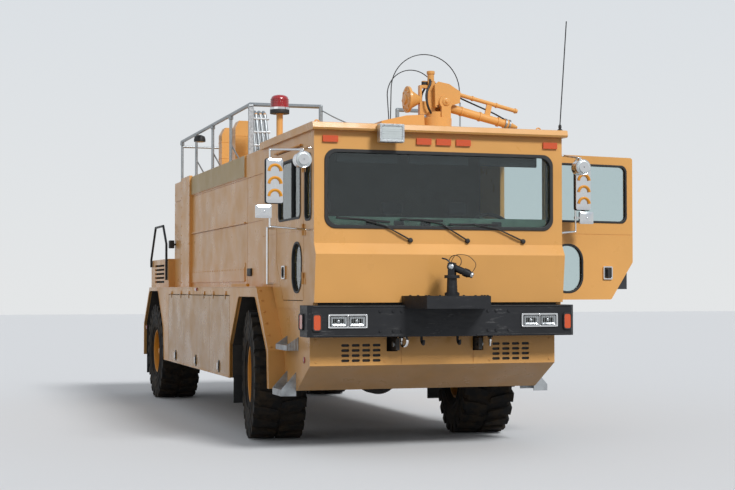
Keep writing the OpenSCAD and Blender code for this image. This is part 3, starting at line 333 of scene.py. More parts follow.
def laminated_glass(name, colour):
    """Tinted laminated safety glass, float-smooth with a green edge, hazed by washing."""
    material, n = start(name, colour, Roughness=0.03, IOR=1.5, Transmission_Weight=1.0)
    n.feed(Roughness=n.ranged(n.noise(3, 5), 0.35, 0.75, 0.015, 0.07))
    return material


def bright_chrome(name, colour):
    """Chrome plate over polished steel, with faint haze from dust."""
    material, n = start(name, colour, Metallic=1.0, Roughness=0.1)
    n.feed(Roughness=n.ranged(n.noise(12, 6), 0.35, 0.75, 0.06, 0.24))
    return material


def galvanised_tube(name, colour, rough=0.42):
    """Hot-dip galvanised steel: grey, with a dull spangle about 12 mm across."""
    material, n = start(name, colour, Metallic=0.9, Roughness=rough)
    spangle = n.cells(80, "Color")
    n.feed(Base_Color=n.mixed(n.ranged(spangle, 0, 1, 0.2, 0.8), shade(colour, 0.72),
                              shade(colour, 1.2)),
           Roughness=n.ranged(spangle, 0, 1, rough - 0.1, rough + 0.14))
    return material


def moulded_lens(name, colour):
    """Acrylic lamp lens, moulded with upright flutes 12 mm apart."""
    material, n = start(name, colour, Roughness=0.16, Coat_Weight=0.6, Coat_Roughness=0.06,
                        Transmission_Weight=0.25)
    n.feed(Normal=n.relief(n.wave(26, "X"), 0.5, 0.0015))
    return material


def moulded_rubber(name, colour):
    """Extruded black rubber, satin, chalked a little by the sun."""
    material, n = start(name, colour, Roughness=0.6)
    chalk = n.ranged(n.noise(18, 6, 0.6), 0.45, 0.8)
    n.feed(Base_Color=n.mixed(chalk, colour, shade(colour, 2.6)),
           Normal=n.relief(n.noise(160, 3), 0.15, 0.0008))
    return material


def grained_plastic(name, colour, rough=0.55):
    """Moulded ABS with a leather grain about 2 mm across."""
    material, n = start(name, colour, Roughness=rough)
    wear = n.ranged(n.noise(6, 4), 0.35, 0.7)
    n.feed(Base_Color=n.mixed(wear, shade(colour, 0.8), shade(colour, 1.25)),
           Normal=n.relief(n.cells(420, "Distance"), 0.3, 0.0006))
    return material


def tread_plate(name, colour):
    """Aluminium tread plate, rolled with short raised bars 30 mm apart, dull and scuffed."""
    material, n = start(name, colour, Metallic=0.85, Roughness=0.42)
    bars = n.maths("MULTIPLY", n.wave(10.5, "X"), n.wave(10.5, "Y"))
    dirt = n.ranged(n.noise(9, 6), 0.4, 0.75)
    n.feed(Base_Color=n.mixed(dirt, colour, shade(colour, 0.5)),
           Normal=n.relief(n.ranged(bars, 0.5, 0.75), 0.7, 0.002))
    return material


def woven_cloth(name, colour):
    """Woven seat cloth: warp and weft 3 mm apart, drawn at 6 mm so that they show."""
    material, n = start(name, colour, Roughness=0.92, Sheen_Weight=0.25, Sheen_Roughness=0.4)
    weave = n.maths("MAXIMUM", n.wave(52, "X"), n.wave(52, "Z"))
    n.feed(Base_Color=n.mixed(weave, shade(colour, 0.6), shade(colour, 1.5)),
           Normal=n.relief(weave, 0.4, 0.0012))
    return material


def cast_metal(name, colour, rough=0.62, metal=0.0):
    """Cast or rolled steel under old paint: oily, dusty and slightly pitted."""
    material, n = start(name, colour, Roughness=rough, Metallic=metal)
    dirt = n.ranged(n.noise(8, 8, 0.65), 0.38, 0.72)
    n.feed(Base_Color=n.mixed(dirt, shade(colour, 0.65), shade(colour, 1.5)),
           Normal=n.relief(n.noise(90, 4), 0.3, 0.0014))
    return material


def mirror_silver(name, colour):
    """Silvered glass, clean and flat."""
    material, n = start(name, colour, Metallic=1.0, Roughness=0.03)
    n.feed(Roughness=n.ranged(n.noise(20, 4), 0.4, 0.8, 0.02, 0.1))
    return material


# Each finish by its name, with the record's slot that it belongs to
FINISHES = {}


def make_finishes(look):
    """Makes every material once from the colours in the panel."""
    dust = list(look.dust)
    # Name: how it is made, the material's name, its colour, what else it takes, its slot
    table = {
        "coach": (coach_enamel, "coach_enamel_golden", look.coach, (dust,), "yellow_paint"),
        # The lids: coach enamel in the darker lid colour, a shaded copy of the coach paint (painted
        # shade).
        "lid": (coach_enamel, "lid_enamel_waxed", look.lid, (dust, 0.26), "yellow_paint"),
        "band": (coach_enamel, "tank_band_faded", "#BBA272", (dust, 0.5), "yellow_paint"),
        "wheel": (coach_enamel, "wheel_enamel_golden", look.wheel, (dust, 0.42), "rim_paint"),
        "black": (worn_enamel, "bumper_enamel_worn_black", look.bumper, (linear("#5C5C5C"),),
                  "black_paint"),
        "tyre": (vulcanised_rubber, "tyre_rubber_dusty", "#151515", (shade(dust, 0.3),),
                 "tyre_rubber"),
        "glass": (laminated_glass, "laminated_glass_green", look.glass, (), "glass"),
        "chrome": (bright_chrome, "chrome_plate", "#D9DADB", (), "chrome"),
        "mirror": (mirror_silver, "mirror_silvered_glass", "#E4E8EA", (), "chrome"),
        "reflector": (galvanised_tube, "lamp_reflector", "#A9ACAE", (0.2,), "chrome"),
        "galvanised": (galvanised_tube, "galvanised_steel", "#9B9FA1", (), "galvanised"),
        "alloy": (galvanised_tube, "cast_aluminium", "#B9BCBE", (0.34,), "galvanised"),
        "amber": (moulded_lens, "acrylic_lens_amber", look.lens, (), "amber_lens"),
        "red": (moulded_lens, "acrylic_dome_red", look.dome, (), "red_lens"),
        "clear": (moulded_lens, "pressed_lamp_glass", "#DDE6E6", (), "glass"),
        "rubber": (moulded_rubber, "extruded_rubber_black", "#161616", (), "black_rubber"),
        "lining": (grained_plastic, "floor_lining_grey", look.lining, (0.8,), "interior_grey"),
        "fascia": (grained_plastic, "fascia_green_grey", "#7C9580", (0.6,), "dash_plastic"),
        "dash": (grained_plastic, "abs_grained_black", "#26272A", (), "dash_plastic"),
        "plate": (tread_plate, "aluminium_tread_plate", "#A9ADB0", (), "step_plate"),
        "cloth": (woven_cloth, "woven_seat_cloth", look.cloth, (), "seat_cloth"),
        "chassis": (cast_metal, "chassis_enamel_oily", "#2E2A26", (), "frame_paint"),
        "engine": (cast_metal, "engine_enamel_grey", "#6B6F72", (0.5,), "engine_paint"),
        "spring": (cast_metal, "spring_steel_dark", "#302C2A", (0.5, 0.6), "spring_steel"),
    }
    for finish, (make, name, colour, more, slot) in table.items():
        colour = linear(colour) if isinstance(colour, str) else list(colour)
        FINISHES[finish] = make(name, colour, *more), slot


# Modelling helpers


def deselect():
    """Object mode with nothing selected."""
    if bpy.context.mode != "OBJECT":
        bpy.ops.object.mode_set(mode="OBJECT")
    bpy.ops.object.select_all(action="DESELECT")


def active(obj):
    deselect()
    obj.select_set(True)
    bpy.context.view_layer.objects.active = obj
    return obj


def choose(*kinds):
    """Selects the whole mesh in edit mode, as vertices, edges or faces."""
    bpy.context.tool_settings.mesh_select_mode = [k in kinds for k in ("VERT", "EDGE", "FACE")]
    bpy.ops.mesh.select_all(action="SELECT")


def edit(obj, kind="FACE"):
    """Edit mode on one object, with all of it selected."""
    active(obj)
    bpy.ops.object.mode_set(mode="EDIT")
    choose(kind)


def primitive(kind, **settings):
    """A new primitive at the origin, as the start of a piece."""
    deselect()
    getattr(bpy.ops.mesh, "primitive_%s_add" % kind)(location=(0, 0, 0), **settings)
    return bpy.context.active_object


def scaled(obj, size):
    obj.scale = size
    bpy.ops.object.transform_apply(location=True, rotation=False, scale=True)
    return obj


def extrude(x, y, z):
    bpy.ops.mesh.extrude_region_move(TRANSFORM_OT_translate={"value": (x, y, z)})


def widen(x, y):
    """Scales what is selected about the z axis."""
    bpy.ops.transform.resize(value=(x, y, 1), center_override=(0, 0, 0))


def sealed():
    """Turns the faces of the piece being edited outward, and leaves edit mode."""
    bpy.ops.mesh.select_all(action="SELECT")
    bpy.ops.mesh.normals_make_consistent(inside=False)
    bpy.ops.object.mode_set(mode="OBJECT")


def bevelled(obj, size, segments=2):
    """Rounds the sharp edges of a piece with a bevel that is applied."""
    active(obj)
    made = obj.modifiers.new("edges", "BEVEL")
    made.width = size
    made.segments = segments
    made.limit_method = "ANGLE"
    made.angle_limit = math.radians(35)
    bpy.ops.object.modifier_apply(modifier=made.name)
    return obj


def smooth(obj, angle=40):
    active(obj)
    bpy.ops.object.shade_smooth_by_angle(angle=math.radians(angle))
    return obj


def block(a, b, edge=0.004, segments=2):
    """Block between two corners with rounded edges."""
    obj = primitive("cube", size=1)
    obj.location = (a + b) / 2
    scaled(obj, [abs(q - p) for p, q in zip(a, b)])
    if edge:
        edit(obj)
        bpy.ops.mesh.bevel(offset=edge, segments=segments, affect="EDGES")
        bpy.ops.object.mode_set(mode="OBJECT")
    return obj


def turned(steps, sides=40, place=None):
    """Turned part about z: extruded and scaled from ring to ring, each a radius and a
    height in millimetres."""
    (r0, z0), rest = steps[0], steps[1:]
    obj = primitive("circle", vertices=sides, radius=r0 * MM, fill_type="NGON")
    edit(obj)
    bpy.ops.transform.translate(value=(0, 0, z0 * MM))
    for r1, z1 in rest:
        extrude(0, 0, (z1 - z0) * MM)
        widen(r1 / r0, r1 / r0)
        r0, z0 = r1, z1
    sealed()
    if place is not None:
        obj.data.transform(place)
    return smooth(obj, 38)


def hoop(profile, sides=48, place=None):
    """Closed ring about z, spun from a closed profile of radius and height in millimetres."""
    obj = primitive("circle", vertices=len(profile), radius=1, fill_type="NOTHING")
    for vertex, (r, z) in zip(obj.data.vertices, profile):
        vertex.co = (r * MM, 0, z * MM)
    edit(obj, "VERT")
    bpy.ops.mesh.spin(steps=sides, angle=math.tau, center=(0, 0, 0), axis=(0, 0, 1))
    bpy.ops.mesh.select_all(action="SELECT")
    bpy.ops.mesh.remove_doubles(threshold=0.00002)
    sealed()
    if place is not None:
        obj.data.transform(place)
    return smooth(obj, 40)


def circle(middle, radius, count):
    """Profile of a round bar for a hoop, its middle on the hoop's own radius."""
    turns = [math.radians(360 // count * k) for k in range(count)]
    return [(middle + radius * math.cos(a), radius * math.sin(a)) for a in turns]


def outline(w, h, corner, segments):
    """Flat face with round corners, left in edit mode and selected."""
    obj = scaled(primitive("plane", size=1), (w, h, 1))
    edit(obj)
    bpy.ops.mesh.bevel(offset=corner, segments=segments, affect="VERTICES")
    bpy.ops.mesh.select_all(action="SELECT")
    return obj


def ring_frame(w, h, corner, band, depth, edge=0.003, segments=6):
    """Rounded frame in x and z about the origin, in metres, extruded from y = 0 toward -y."""
    obj = outline(w, h, corner, segments)
    bpy.ops.mesh.delete(type="ONLY_FACE")
    choose("EDGE")
    bpy.ops.mesh.extrude_edges_move()
    widen((w - 2 * band) / w, (h - 2 * band) / h)
    choose("FACE")
    extrude(0, 0, depth)
    sealed()
    obj.data.transform(FRONT_FACE)
    return bevelled(obj, edge) if edge else obj


def pad(w, h, corner, depth, crown, segments=5):
    """Rounded pad in x and z, standing toward -y, with its face crowned or dished."""
    obj = outline(w, h, corner, segments)
    extrude(0, 0, depth)
    step = min(w, h) * 0.24
    for k, rise in ((1, 0.6), (2, 0.4)):
        extrude(0, 0, crown * rise)
        widen((w - step * k) / (w - step * (k - 1)), (h - step * k) / (h - step * (k - 1)))
    sealed()
    obj.data.transform(FRONT_FACE)
    return smooth(obj, 50)


def plate(points, depth):
    """Flat plate with an outline in x and z, in metres, from y = 0 toward +y."""
    obj = primitive("circle", vertices=len(points), radius=1, fill_type="NGON")
    for corner, (x, z) in zip(obj.data.vertices, points):
        corner.co = (x, 0, z)
    edit(obj)
    extrude(0, depth, 0)
    sealed()
    return obj


def rounded(points, radius, steps=5):
    """A line of points with its corners rounded."""
    line = [Vector(points[0])]
    for a, b, c in zip(points, points[1:], points[2:]):
        a, b, c = Vector(a), Vector(b), Vector(c)
        into, out = (a - b), (c - b)
        reach = min(radius, into.length * 0.48, out.length * 0.48)
        p, q = b + into.normalized() * reach, b + out.normalized() * reach
        for i in range(steps + 1):
            t = i / steps
            line.append(p * (1 - t) ** 2 + b * 2 * t * (1 - t) + q * t * t)
    line.append(Vector(points[-1]))
    return line


def tube(points, radius, sides=10):
    """Round bar along a line of points in metres, closed at its ends."""
    deselect()
    bpy.ops.curve.primitive_bezier_curve_add(location=(0, 0, 0))
    obj = bpy.context.active_object
    curve = obj.data
    curve.splines.clear()
    spline = curve.splines.new("POLY")
    spline.points.add(len(points) - 1)
    for point, co in zip(spline.points, points):
        point.co = (*co, 1)
    curve.dimensions = "3D"
    curve.bevel_depth = radius
    curve.bevel_resolution = max(1, sides // 4 - 1)
    curve.use_fill_caps = True
    bpy.ops.object.convert(target="MESH")
    edit(obj)
    bpy.ops.mesh.remove_doubles(threshold=0.00001)
    sealed()
    return smooth(obj, 50)


def moved_by(obj, place):
    obj.data.transform(place)
    if place.determinant() < 0:
        edit(obj)
        bpy.ops.mesh.flip_normals()
        bpy.ops.object.mode_set(mode="OBJECT")
    return obj


def twin_of(obj):
    """A copy with a mesh of its own."""
    twin = obj.copy()
    twin.data = obj.data.copy()
    bpy.context.collection.objects.link(twin)
    return twin


def copies(obj, places):
    """The piece at each place, with a mesh of its own each, joined as one."""
    made = [moved_by(twin_of(obj), place) for place in places]
    bpy.data.objects.remove(obj)
    return joined(made)


def joined(objs):
    """Joins pieces into the first one."""
    deselect()
    for o in objs:
        o.select_set(True)
    bpy.context.view_layer.objects.active = objs[0]
    if len(objs) > 1:
        bpy.ops.object.join()
    return objs[0]


def done(obj, name, finish, place=None, body="chassis"):
    """Places, names and paints a finished piece, and says which body it rides on."""
    if place is not None:
        moved_by(obj, place)
    deselect()
    obj.name = name
    obj.data.name = name
    material, slot = FINISHES[finish]
    obj.data.materials.clear()
    obj.data.materials.append(material)
    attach(obj, body)
    return obj


def hex_bolt(width, height):
    """Hexagon bolt head on a washer, along +z, its foot at the origin."""
    head = primitive("circle", vertices=6, radius=width / math.sqrt(3), fill_type="NGON")
    edit(head)
    extrude(0, 0, height)
    bpy.ops.mesh.inset(thickness=width * 0.08)
    bpy.ops.transform.translate(value=(0, 0, width * 0.06))
    sealed()
    r = width * 0.85 / MM
    washer = turned([(r, 0), (r, width * 0.1 / MM), (r * 0.94, width * 0.14 / MM)], 16)
    return joined([head, washer])


def bolts(width, places, name, finish, body="chassis"):
    """Copies of one hexagon bolt, standing along +z of each place, joined as one piece."""
    return done(copies(hex_bolt(width, width * 0.4), places), name, finish, body=body)


# The stage

# Place, tilt and turn in degrees, and lens of the camera that took the photograph
CAMERA_PLACE, CAMERA_TILT, CAMERA_TURN, CAMERA_LENS = (-5178, -13804, 1696), 91.78, -17.6, 70.11
LIGHT_TARGET = (0, 2000, 1500)


class FIRETRUCK_OT_stage(bpy.types.Operator):
    """Camera at the photograph's angle, pale floor and soft studio light"""
    bl_idname = "firetruck.stage"
    bl_label = "Stage"

    def execute(self, context):
        stage = context.scene.truck_stage
        deselect()
        bpy.ops.object.camera_add(location=at(*CAMERA_PLACE), rotation=(
            math.radians(CAMERA_TILT), 0, math.radians(CAMERA_TURN)))
        camera = context.active_object
        camera.name = "camera"
        camera.data.lens = CAMERA_LENS
        camera.data.sensor_width = 36
        camera.data.clip_end = 400
        context.scene.camera = camera
        context.scene.view_settings.view_transform = "Standard"
        bpy.ops.mesh.primitive_plane_add(size=stage.floor, location=(0, 0, -0.001))
        floor = context.active_object
        floor.name = "studio_floor"
        floor.data.materials.append(pale_floor())
        soft_sun("key_light", at(4500, -12000, 13500), stage.key, 14)
        soft_sun("fill_light", at(-13000, -6000, 6500), stage.key * 0.1, 50)
        pale_sky(context.scene, stage.sky)
        deselect()
        return {"FINISHED"}


def soft_sun(name, place, strength, width):
    """Even far light from a place toward the truck, its shadows softened by its width."""
    bpy.ops.object.light_add(type="SUN", location=place)
    lamp = bpy.context.active_object
    lamp.name = name
    lamp.rotation_euler = (at(*LIGHT_TARGET) - place).to_track_quat("-Z", "Y").to_euler()
    lamp.data.energy = strength
    lamp.data.angle = math.radians(width)


def pale_floor():
    """Pale matt floor that keeps the shadow. It throws back less light than it shows, so
    that the truck's underside stays dark as on asphalt."""
    pale = linear("#D6D8DA")
    material, n = start("studio_floor_pale", pale, Roughness=0.9)
    n.feed(Base_Color=n.mixed(n.seen_ray(), linear("#77787A"), pale))
    return material


def pale_sky(scene, strength):
    """Even light all round, and the pale backdrop that the camera sees."""
    scene.world = bpy.data.worlds.new("studio_light")
    n = Nodes(scene.world, "Background")
    up = n.add("ShaderNodeSeparateXYZ", {0: n.place("Generated")}).outputs["Z"]
    backdrop = n.mixed(n.ranged(up, 0, 0.5), linear("#E9EBEC"), linear("#D3DCE6"))
    n.feed(Color=n.mixed(n.seen_ray(), linear("#F4F6FA"), backdrop),
           Strength=n.ranged(n.seen_ray(), 0, 1, strength, 0.95))


# Finishes of the CAD's own solids
CAD_FINISH = {
    "coach": ["cab_front", "cab_side_right", "cab_side_left", "cab_roof", "door_right",
              "door_left", "body_right", "body_left", "tank_body", "rear_deck", "front_skirt",
              "roof_stacks", "turret_base", "turret_head", "turret_barrel"],
    # The locker lids take the darker lid enamel, which carries painted shade.
    "lid": ["lid_%s_%d" % (side, i) for _, side in SIDES for i in (1, 2, 3)],
    "wheel": ["rim_%s_%s" % (end, side) for end in ("front", "rear") for _, side in SIDES],
    "tyre": ["tyre_%s_%s" % (end, side) for end in ("front", "rear") for _, side in SIDES],
    "black": ["bumper", "nozzle_swivel", "bumper_nozzle", "deck_rails"],
    "glass": ["cab_glass", "door_glass_right", "door_glass_left"],
    "lining": ["cab_tub"], "cloth": ["seats"], "fascia": ["dashboard"], "plate": ["steps"],
    "galvanised": ["roof_rails"], "chrome": ["mirrors", "headlamps"],
    "amber": ["amber_lamps"], "red": ["beacon"], "rubber": ["antennas", "wipers"],
    "chassis": ["chassis_frame", "front_axle", "rear_axle", "driveline", "knuckle_right",
                "knuckle_left"],
    "engine": ["engine"], "spring": ["springs"],
}


class FIRETRUCK_OT_paint(bpy.types.Operator):
    """Makes the finishes and puts one on each solid of the CAD"""
    bl_idname = "firetruck.paint"
    bl_label = "Paint the CAD solids"

    def execute(self, context):
        make_finishes(context.scene.truck_finish)
        for finish, nodes in CAD_FINISH.items():
            for name in nodes:
                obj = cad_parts[name]
                obj.data.materials.clear()
                obj.data.materials.append(FINISHES[finish][0])
        return {"FINISHED"}


# Cab windows, doors and inside

# Windows of the cab's side: middle in y and z, size in y and z, corner radius
SIDE_WINDOWS = {"door": (990, 2756, 920, 619, 60), "low": (670, 1926, 376, 510, 170),
                "quarter": (228, 2740, 230, 660, 60)}
SCREEN_MIDDLE_Z, SCREEN_W, SCREEN_H, SCREEN_CORNER = 2713, 2456, 750, 90
HANDLE_Y, HANDLE_Z = 1195, 1880


class FIRETRUCK_OT_gaskets(bpy.types.Operator):
    """Rubber gaskets round the windscreen and the side windows"""
    bl_idname = "firetruck.gaskets"
    bl_label = "Window gaskets"

    def execute(self, context):
        band = context.scene.truck_sizes.gasket
        lip = 0.026
        screen = ring_frame(SCREEN_W * MM + 2 * lip, SCREEN_H * MM + 2 * lip,
                            SCREEN_CORNER * MM + lip, band + lip * 0.3, 0.034, 0.006, 8)
        done(screen, "windscreen_gasket", "rubber", moved(0, 21, SCREEN_MIDDLE_Z))
        lip *= 0.6
        for side, word in SIDES:
            for name, (y, z, w, h, corner) in SIDE_WINDOWS.items():
                ring = ring_frame(w * MM + 2 * lip, h * MM + 2 * lip, corner * MM + lip,
                                  band * 0.85, 0.042, 0.006, 8)
                place, body = moved(side * (CAB_HALF - 34), y, z) @ side_turn(side), "chassis"
                if name != "quarter":
                    place, body = door_place(side) @ place, "cab_door_" + word
                done(ring, "gasket_%s_%s" % (name, word), "rubber", place, body)
        return {"FINISHED"}


class FIRETRUCK_OT_door_trim(bpy.types.Operator):
    """Window dividers, handles, inner cards and pulls of the cab doors"""
    bl_idname = "firetruck.door_trim"
    bl_label = "Door trim"

    def execute(self, context):
        y, z, w, h, corner = SIDE_WINDOWS["door"]
        for side, word in SIDES:
            body, swing = "cab_door_" + word, door_place(side)
            bar = block(at(side * (CAB_HALF - 36), 872, z - h / 2 + 6),
                        at(side * (CAB_HALF + 5), 898, z + h / 2 - 6), 0.006)
            done(bar, "window_divider_" + word, "rubber", swing, body)
            out = swing @ moved(side * (CAB_HALF + 8), HANDLE_Y, HANDLE_Z) @ side_turn(side)
            bezel = ring_frame(0.124, 0.146, 0.014, 0.014, 0.012)
            done(bezel, "handle_bezel_" + word, "chrome", out, body)
            dish = pad(0.1, 0.11, 0.01, 0.004, -0.002)
            done(dish, "handle_dish_" + word, "rubber", out, body)
            paddle = pad(0.03, 0.1, 0.008, 0.02, 0.004)
            done(paddle, "handle_paddle_" + word, "rubber", out, body)
            pull = tube(rounded([local(-side * 45, y_, z_) for y_, z_ in
                                 ((1330, 2200), (1330, 2230), (930, 2300), (930, 2270))], 0.03),
                        0.012)
            feet = [block(local(-side * 60, y_ - 14, z_ - 16), local(0, y_ + 14, z_ + 8))
                    for y_, z_ in ((1330, 2206), (930, 2276))]
            done(joined([pull] + feet), "door_pull_" + word, "dash",
                 swing @ moved(side * (CAB_HALF - 50), 0, 0), body)
            card = block(at(side * (CAB_HALF - 50), 860, 1700),
                         at(side * (CAB_HALF - 58), 1500, 2380), 0.003)
            done(card, "door_card_" + word, "dash", swing, body)
        return {"FINISHED"}


SEATS_X = (-800, 60, 860)
FLOOR_Z, SEAT_Z = 1575, 1768
# Places in y and z of the cushion, the back and the head pad
CUSHION, BACK, HEAD_PAD = (1490, SEAT_Z + 128), (1745, SEAT_Z + 480), (1800, SEAT_Z + 868)
MOST_SWELL = 0.02


def crowned_cushion(w, d, h, corner, swell):
    """Closed cushion with its sides pulled in between the corners, swelled by simulation."""
    obj = scaled(primitive("cube", size=1), (w, d, h))
    edit(obj)
    bpy.ops.mesh.bevel(offset=corner, segments=4, affect="EDGES")
    bpy.ops.mesh.select_all(action="SELECT")
    bpy.ops.mesh.subdivide(number_cuts=3)
    bpy.ops.object.mode_set(mode="OBJECT")
    mesh = obj.modifiers.new("remesh", "REMESH")
    mesh.mode = "VOXEL"
    mesh.voxel_size = 0.022
    bpy.ops.object.modifier_apply(modifier=mesh.name)
    cloth = obj.modifiers.new("padding", "CLOTH")
    cloth.settings.use_pressure = True
    cloth.settings.uniform_pressure_force = swell
    cloth.settings.effector_weights.gravity = 0
    cloth.settings.quality = 4
    cloth.settings.tension_stiffness = 25
    rest = [v.co.copy() for v in obj.data.vertices]
    scene = bpy.context.scene
    for step in range(1, 14):
        scene.frame_set(step)
    bpy.ops.object.modifier_apply(modifier=cloth.name)
    scene.frame_set(1)
    for vertex, was in zip(obj.data.vertices, rest):
        move = vertex.co - was
        if move.length > MOST_SWELL:
            vertex.co = was + move.normalized() * MOST_SWELL
    return smooth(obj, 60)


def channel(obj, axis, places, depth, width):
    """Presses sewn channels into a cushion, straight across it at the given places."""
    for vertex in obj.data.vertices:
        for place in places:
            away = abs(vertex.co[axis] - place) / width
            if away < 1:
                vertex.co *= 1 - depth * (1 - away * away) ** 2
    return obj


class FIRETRUCK_OT_seats(bpy.types.Operator):
    """Three padded seats on pedestals, each with a cushion, a back and a head pad"""
    bl_idname = "firetruck.seats"
    bl_label = "Seats"

    def execute(self, context):
        base = channel(crowned_cushion(0.45, 0.42, 0.1, 0.035, 3.0), 0, (-0.12, 0.12), 0.07,
                       0.018)
        back = channel(crowned_cushion(0.43, 0.09, 0.6, 0.03, 3.0), 2, (-0.15, 0, 0.15), 0.05,
                       0.018)
        head = crowned_cushion(0.26, 0.08, 0.15, 0.03, 2.0)
        lean = turn(-9, "X")
        parts = (("cushion", base, CUSHION, turn(0, "X"), 0.6), ("back", back, BACK, lean, 0.6),
                 ("head_pad", head, HEAD_PAD, lean, 0.5))
        for i, x in enumerate(SEATS_X):
            for word, form, (y, z), tip, fill in parts:
                twin = done(twin_of(form), "seat_%s_%d" % (word, i + 1), "cloth",
                            moved(x, y, z) @ tip)
            rest = moved(x, *BACK) @ lean
            stand = [block(at(x - 160, 1310, FLOOR_Z + 1), at(x + 160, 1480, SEAT_Z + 60), 0.01),
                     block(at(x - 215, 1290, SEAT_Z + 52), at(x + 215, 1700, SEAT_Z + 78),
                           0.008),
                     moved_by(block(local(-200, 50, -330), local(200, 68, 300), 0.008), rest)]
            stand += [moved_by(tube([local(s * 70, 10, 260), local(s * 70, 10, 360)], 0.008),
                               rest) for s, _ in SIDES]
            done(joined(stand), "seat_frame_%d" % (i + 1), "dash")
        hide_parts("seats")
        for form in (base, back, head):
            bpy.data.objects.remove(form)
        return {"FINISHED"}


WHEEL = (860, 700, 2360)
WHEEL_TILT = 48


class FIRETRUCK_OT_dashboard(bpy.types.Operator):
    """Instrument hood, gauges, switch rows, sun visors and the roof console"""
    bl_idname = "firetruck.dashboard"
    bl_label = "Dashboard"

    def execute(self, context):
        x = WHEEL[0]
        hood = block(at(x - 280, 330, 2262), at(x + 280, 500, 2352), 0.03, 4)
        done(hood, "instrument_hood", "dash")
        gauge = turned([(46, 0), (46, 6), (40, 8), (38, 5)], 24)
        places = [moved(x + dx, 502, 2306) @ REAR_FACE for dx in (-200, -100, 0, 100, 200)]
        done(copies(gauge, places), "gauges", "chrome")
        rows = [moved(x_, 512, 2150 + 60 * k) @ turn(180, "Z")
                for x_ in range(-1000, 500, 120) for k in (0, 1)]
        done(copies(pad(0.03, 0.05, 0.006, 0.012, 0.003), rows), "switch_rows", "rubber")
        for i, x_ in enumerate((-780, 0, 780)):
            visor = block(at(x_ - 330, 84, 2985), at(x_ + 330, 108, 3120), 0.01)
            done(visor, "sun_visor_%d" % (i + 1), "dash")
        console = block(at(-500, 500, 3190), at(500, 1000, 3286), 0.03, 3)
        done(console, "roof_console", "lining")
        headliner = block(at(-1300, 60, 3287), at(1300, 2150, 3299.5), 0.002, 1)
        done(headliner, "headliner", "lining")
        done(block(at(-1205, 74, 2300), at(1205, 92, 2436)), "dash_cowl", "fascia")
        boxes = [block(at(x_ - 55, 62, 2352), at(x_ + 55, 75, 2402), 0.008)
                 for x_ in (-740, -440, -150, 640)]
        done(joined(boxes), "cowl_vents", "rubber")
        done(hoop(circle(222, 20, 10), 40), "steering_wheel_grip", "rubber",
             moved(*WHEEL) @ turn(WHEEL_TILT, "X"))
        return {"FINISHED"}


# Front end: bumper, lamps, grilles, tow fittings, mirrors and wipers

BUMPER_OUT, BUMPER_HALF, BUMPER_Z = 110, 1450, 1219
SHELF_TOP = 1632
SKIRT_Y = 183


class FIRETRUCK_OT_bumper_fittings(bpy.types.Operator):
    """Bolts, edge strips and lamp bezels of the bumper and its shelf"""
    bl_idname = "firetruck.bumper_fittings"
    bl_label = "Bumper fittings"

    def execute(self, context):
        width = context.scene.truck_sizes.bolt
        face = [moved(s * x, -BUMPER_OUT, BUMPER_Z + z) @ FRONT_FACE
                for s, _ in SIDES for x in (470, 560, 700) for z in (60, 258)]
        bolts(width, face, "bumper_bolts", "black")
        shelf = [moved(s * x, y, SHELF_TOP) for s, _ in SIDES for x, y in
                 ((390, -140), (360, -290), (330, -440), (190, -460), (190, -140))]
        bolts(width * 0.8, shelf, "shelf_bolts", "black")
        strips = [block(at(s * 340, -BUMPER_OUT - 7, BUMPER_Z + z),
                        at(s * 1400, -BUMPER_OUT + 2, BUMPER_Z + z + 12), 0.003)
                  for s, _ in SIDES for z in (300, 8)]
        done(joined(strips), "bumper_edge_strips", "black")
        bezels = []
        for s, _ in SIDES:
            bezels.append(moved_by(ring_frame(0.096, 0.173, 0.026, 0.012, 0.022),
                                   moved(s * 1361, -BUMPER_OUT, 1367)))
            bezels.append(moved_by(ring_frame(0.153, 0.166, 0.026, 0.012, 0.018),
                                   moved(s * BUMPER_HALF, 127, 1370) @ side_turn(s)))
        done(joined(bezels), "marker_bezels", "rubber")
        return {"FINISHED"}


class FIRETRUCK_OT_headlamp_glass(bpy.types.Operator):
    """Backs, bowls with bulbs, fluted glasses and screws of the headlamps"""
    bl_idname = "firetruck.headlamp_glass"
    bl_label = "Headlamp glasses"

    def execute(self, context):
        front, middle, lamp_x = -BUMPER_OUT - 18, BUMPER_Z + 160, 1043
        for i, (s, k) in enumerate([(s, k) for s, _ in SIDES for k in (-1, 1)]):
            x, number = s * lamp_x + k * 96, "_%d" % (i + 1)
            done(pad(0.18, 0.108, 0.014, 0.005, 0.001, 4), "headlamp_back" + number, "rubber",
                 moved(x, front + 15, middle))
            bulb = turned([(15, 0), (15, 7), (8, 10)], 20, FRONT_FACE)
            done(joined([pad(0.166, 0.094, 0.012, 0.013, -0.011, 4), bulb]),
                 "headlamp_bowl" + number, "reflector", moved(x, front + 11, middle))
            bars = [block(local(u, -14.5, -42), local(u + 2, -13, 42), 0.0003, 1)
                    for u in range(-66, 67, 22)]
            done(joined(bars), "headlamp_flutes" + number, "clear",
                 moved(x, front + 10, middle))
        places = [moved(s * lamp_x + u, front, middle + v) @ FRONT_FACE for s, _ in SIDES
                  for u in (-197, 0, 197) for v in (-62, 62)]
        done(copies(turned([(7, 0), (7, 2), (4, 4)], 12), places), "headlamp_screws", "chrome")
        return {"FINISHED"}


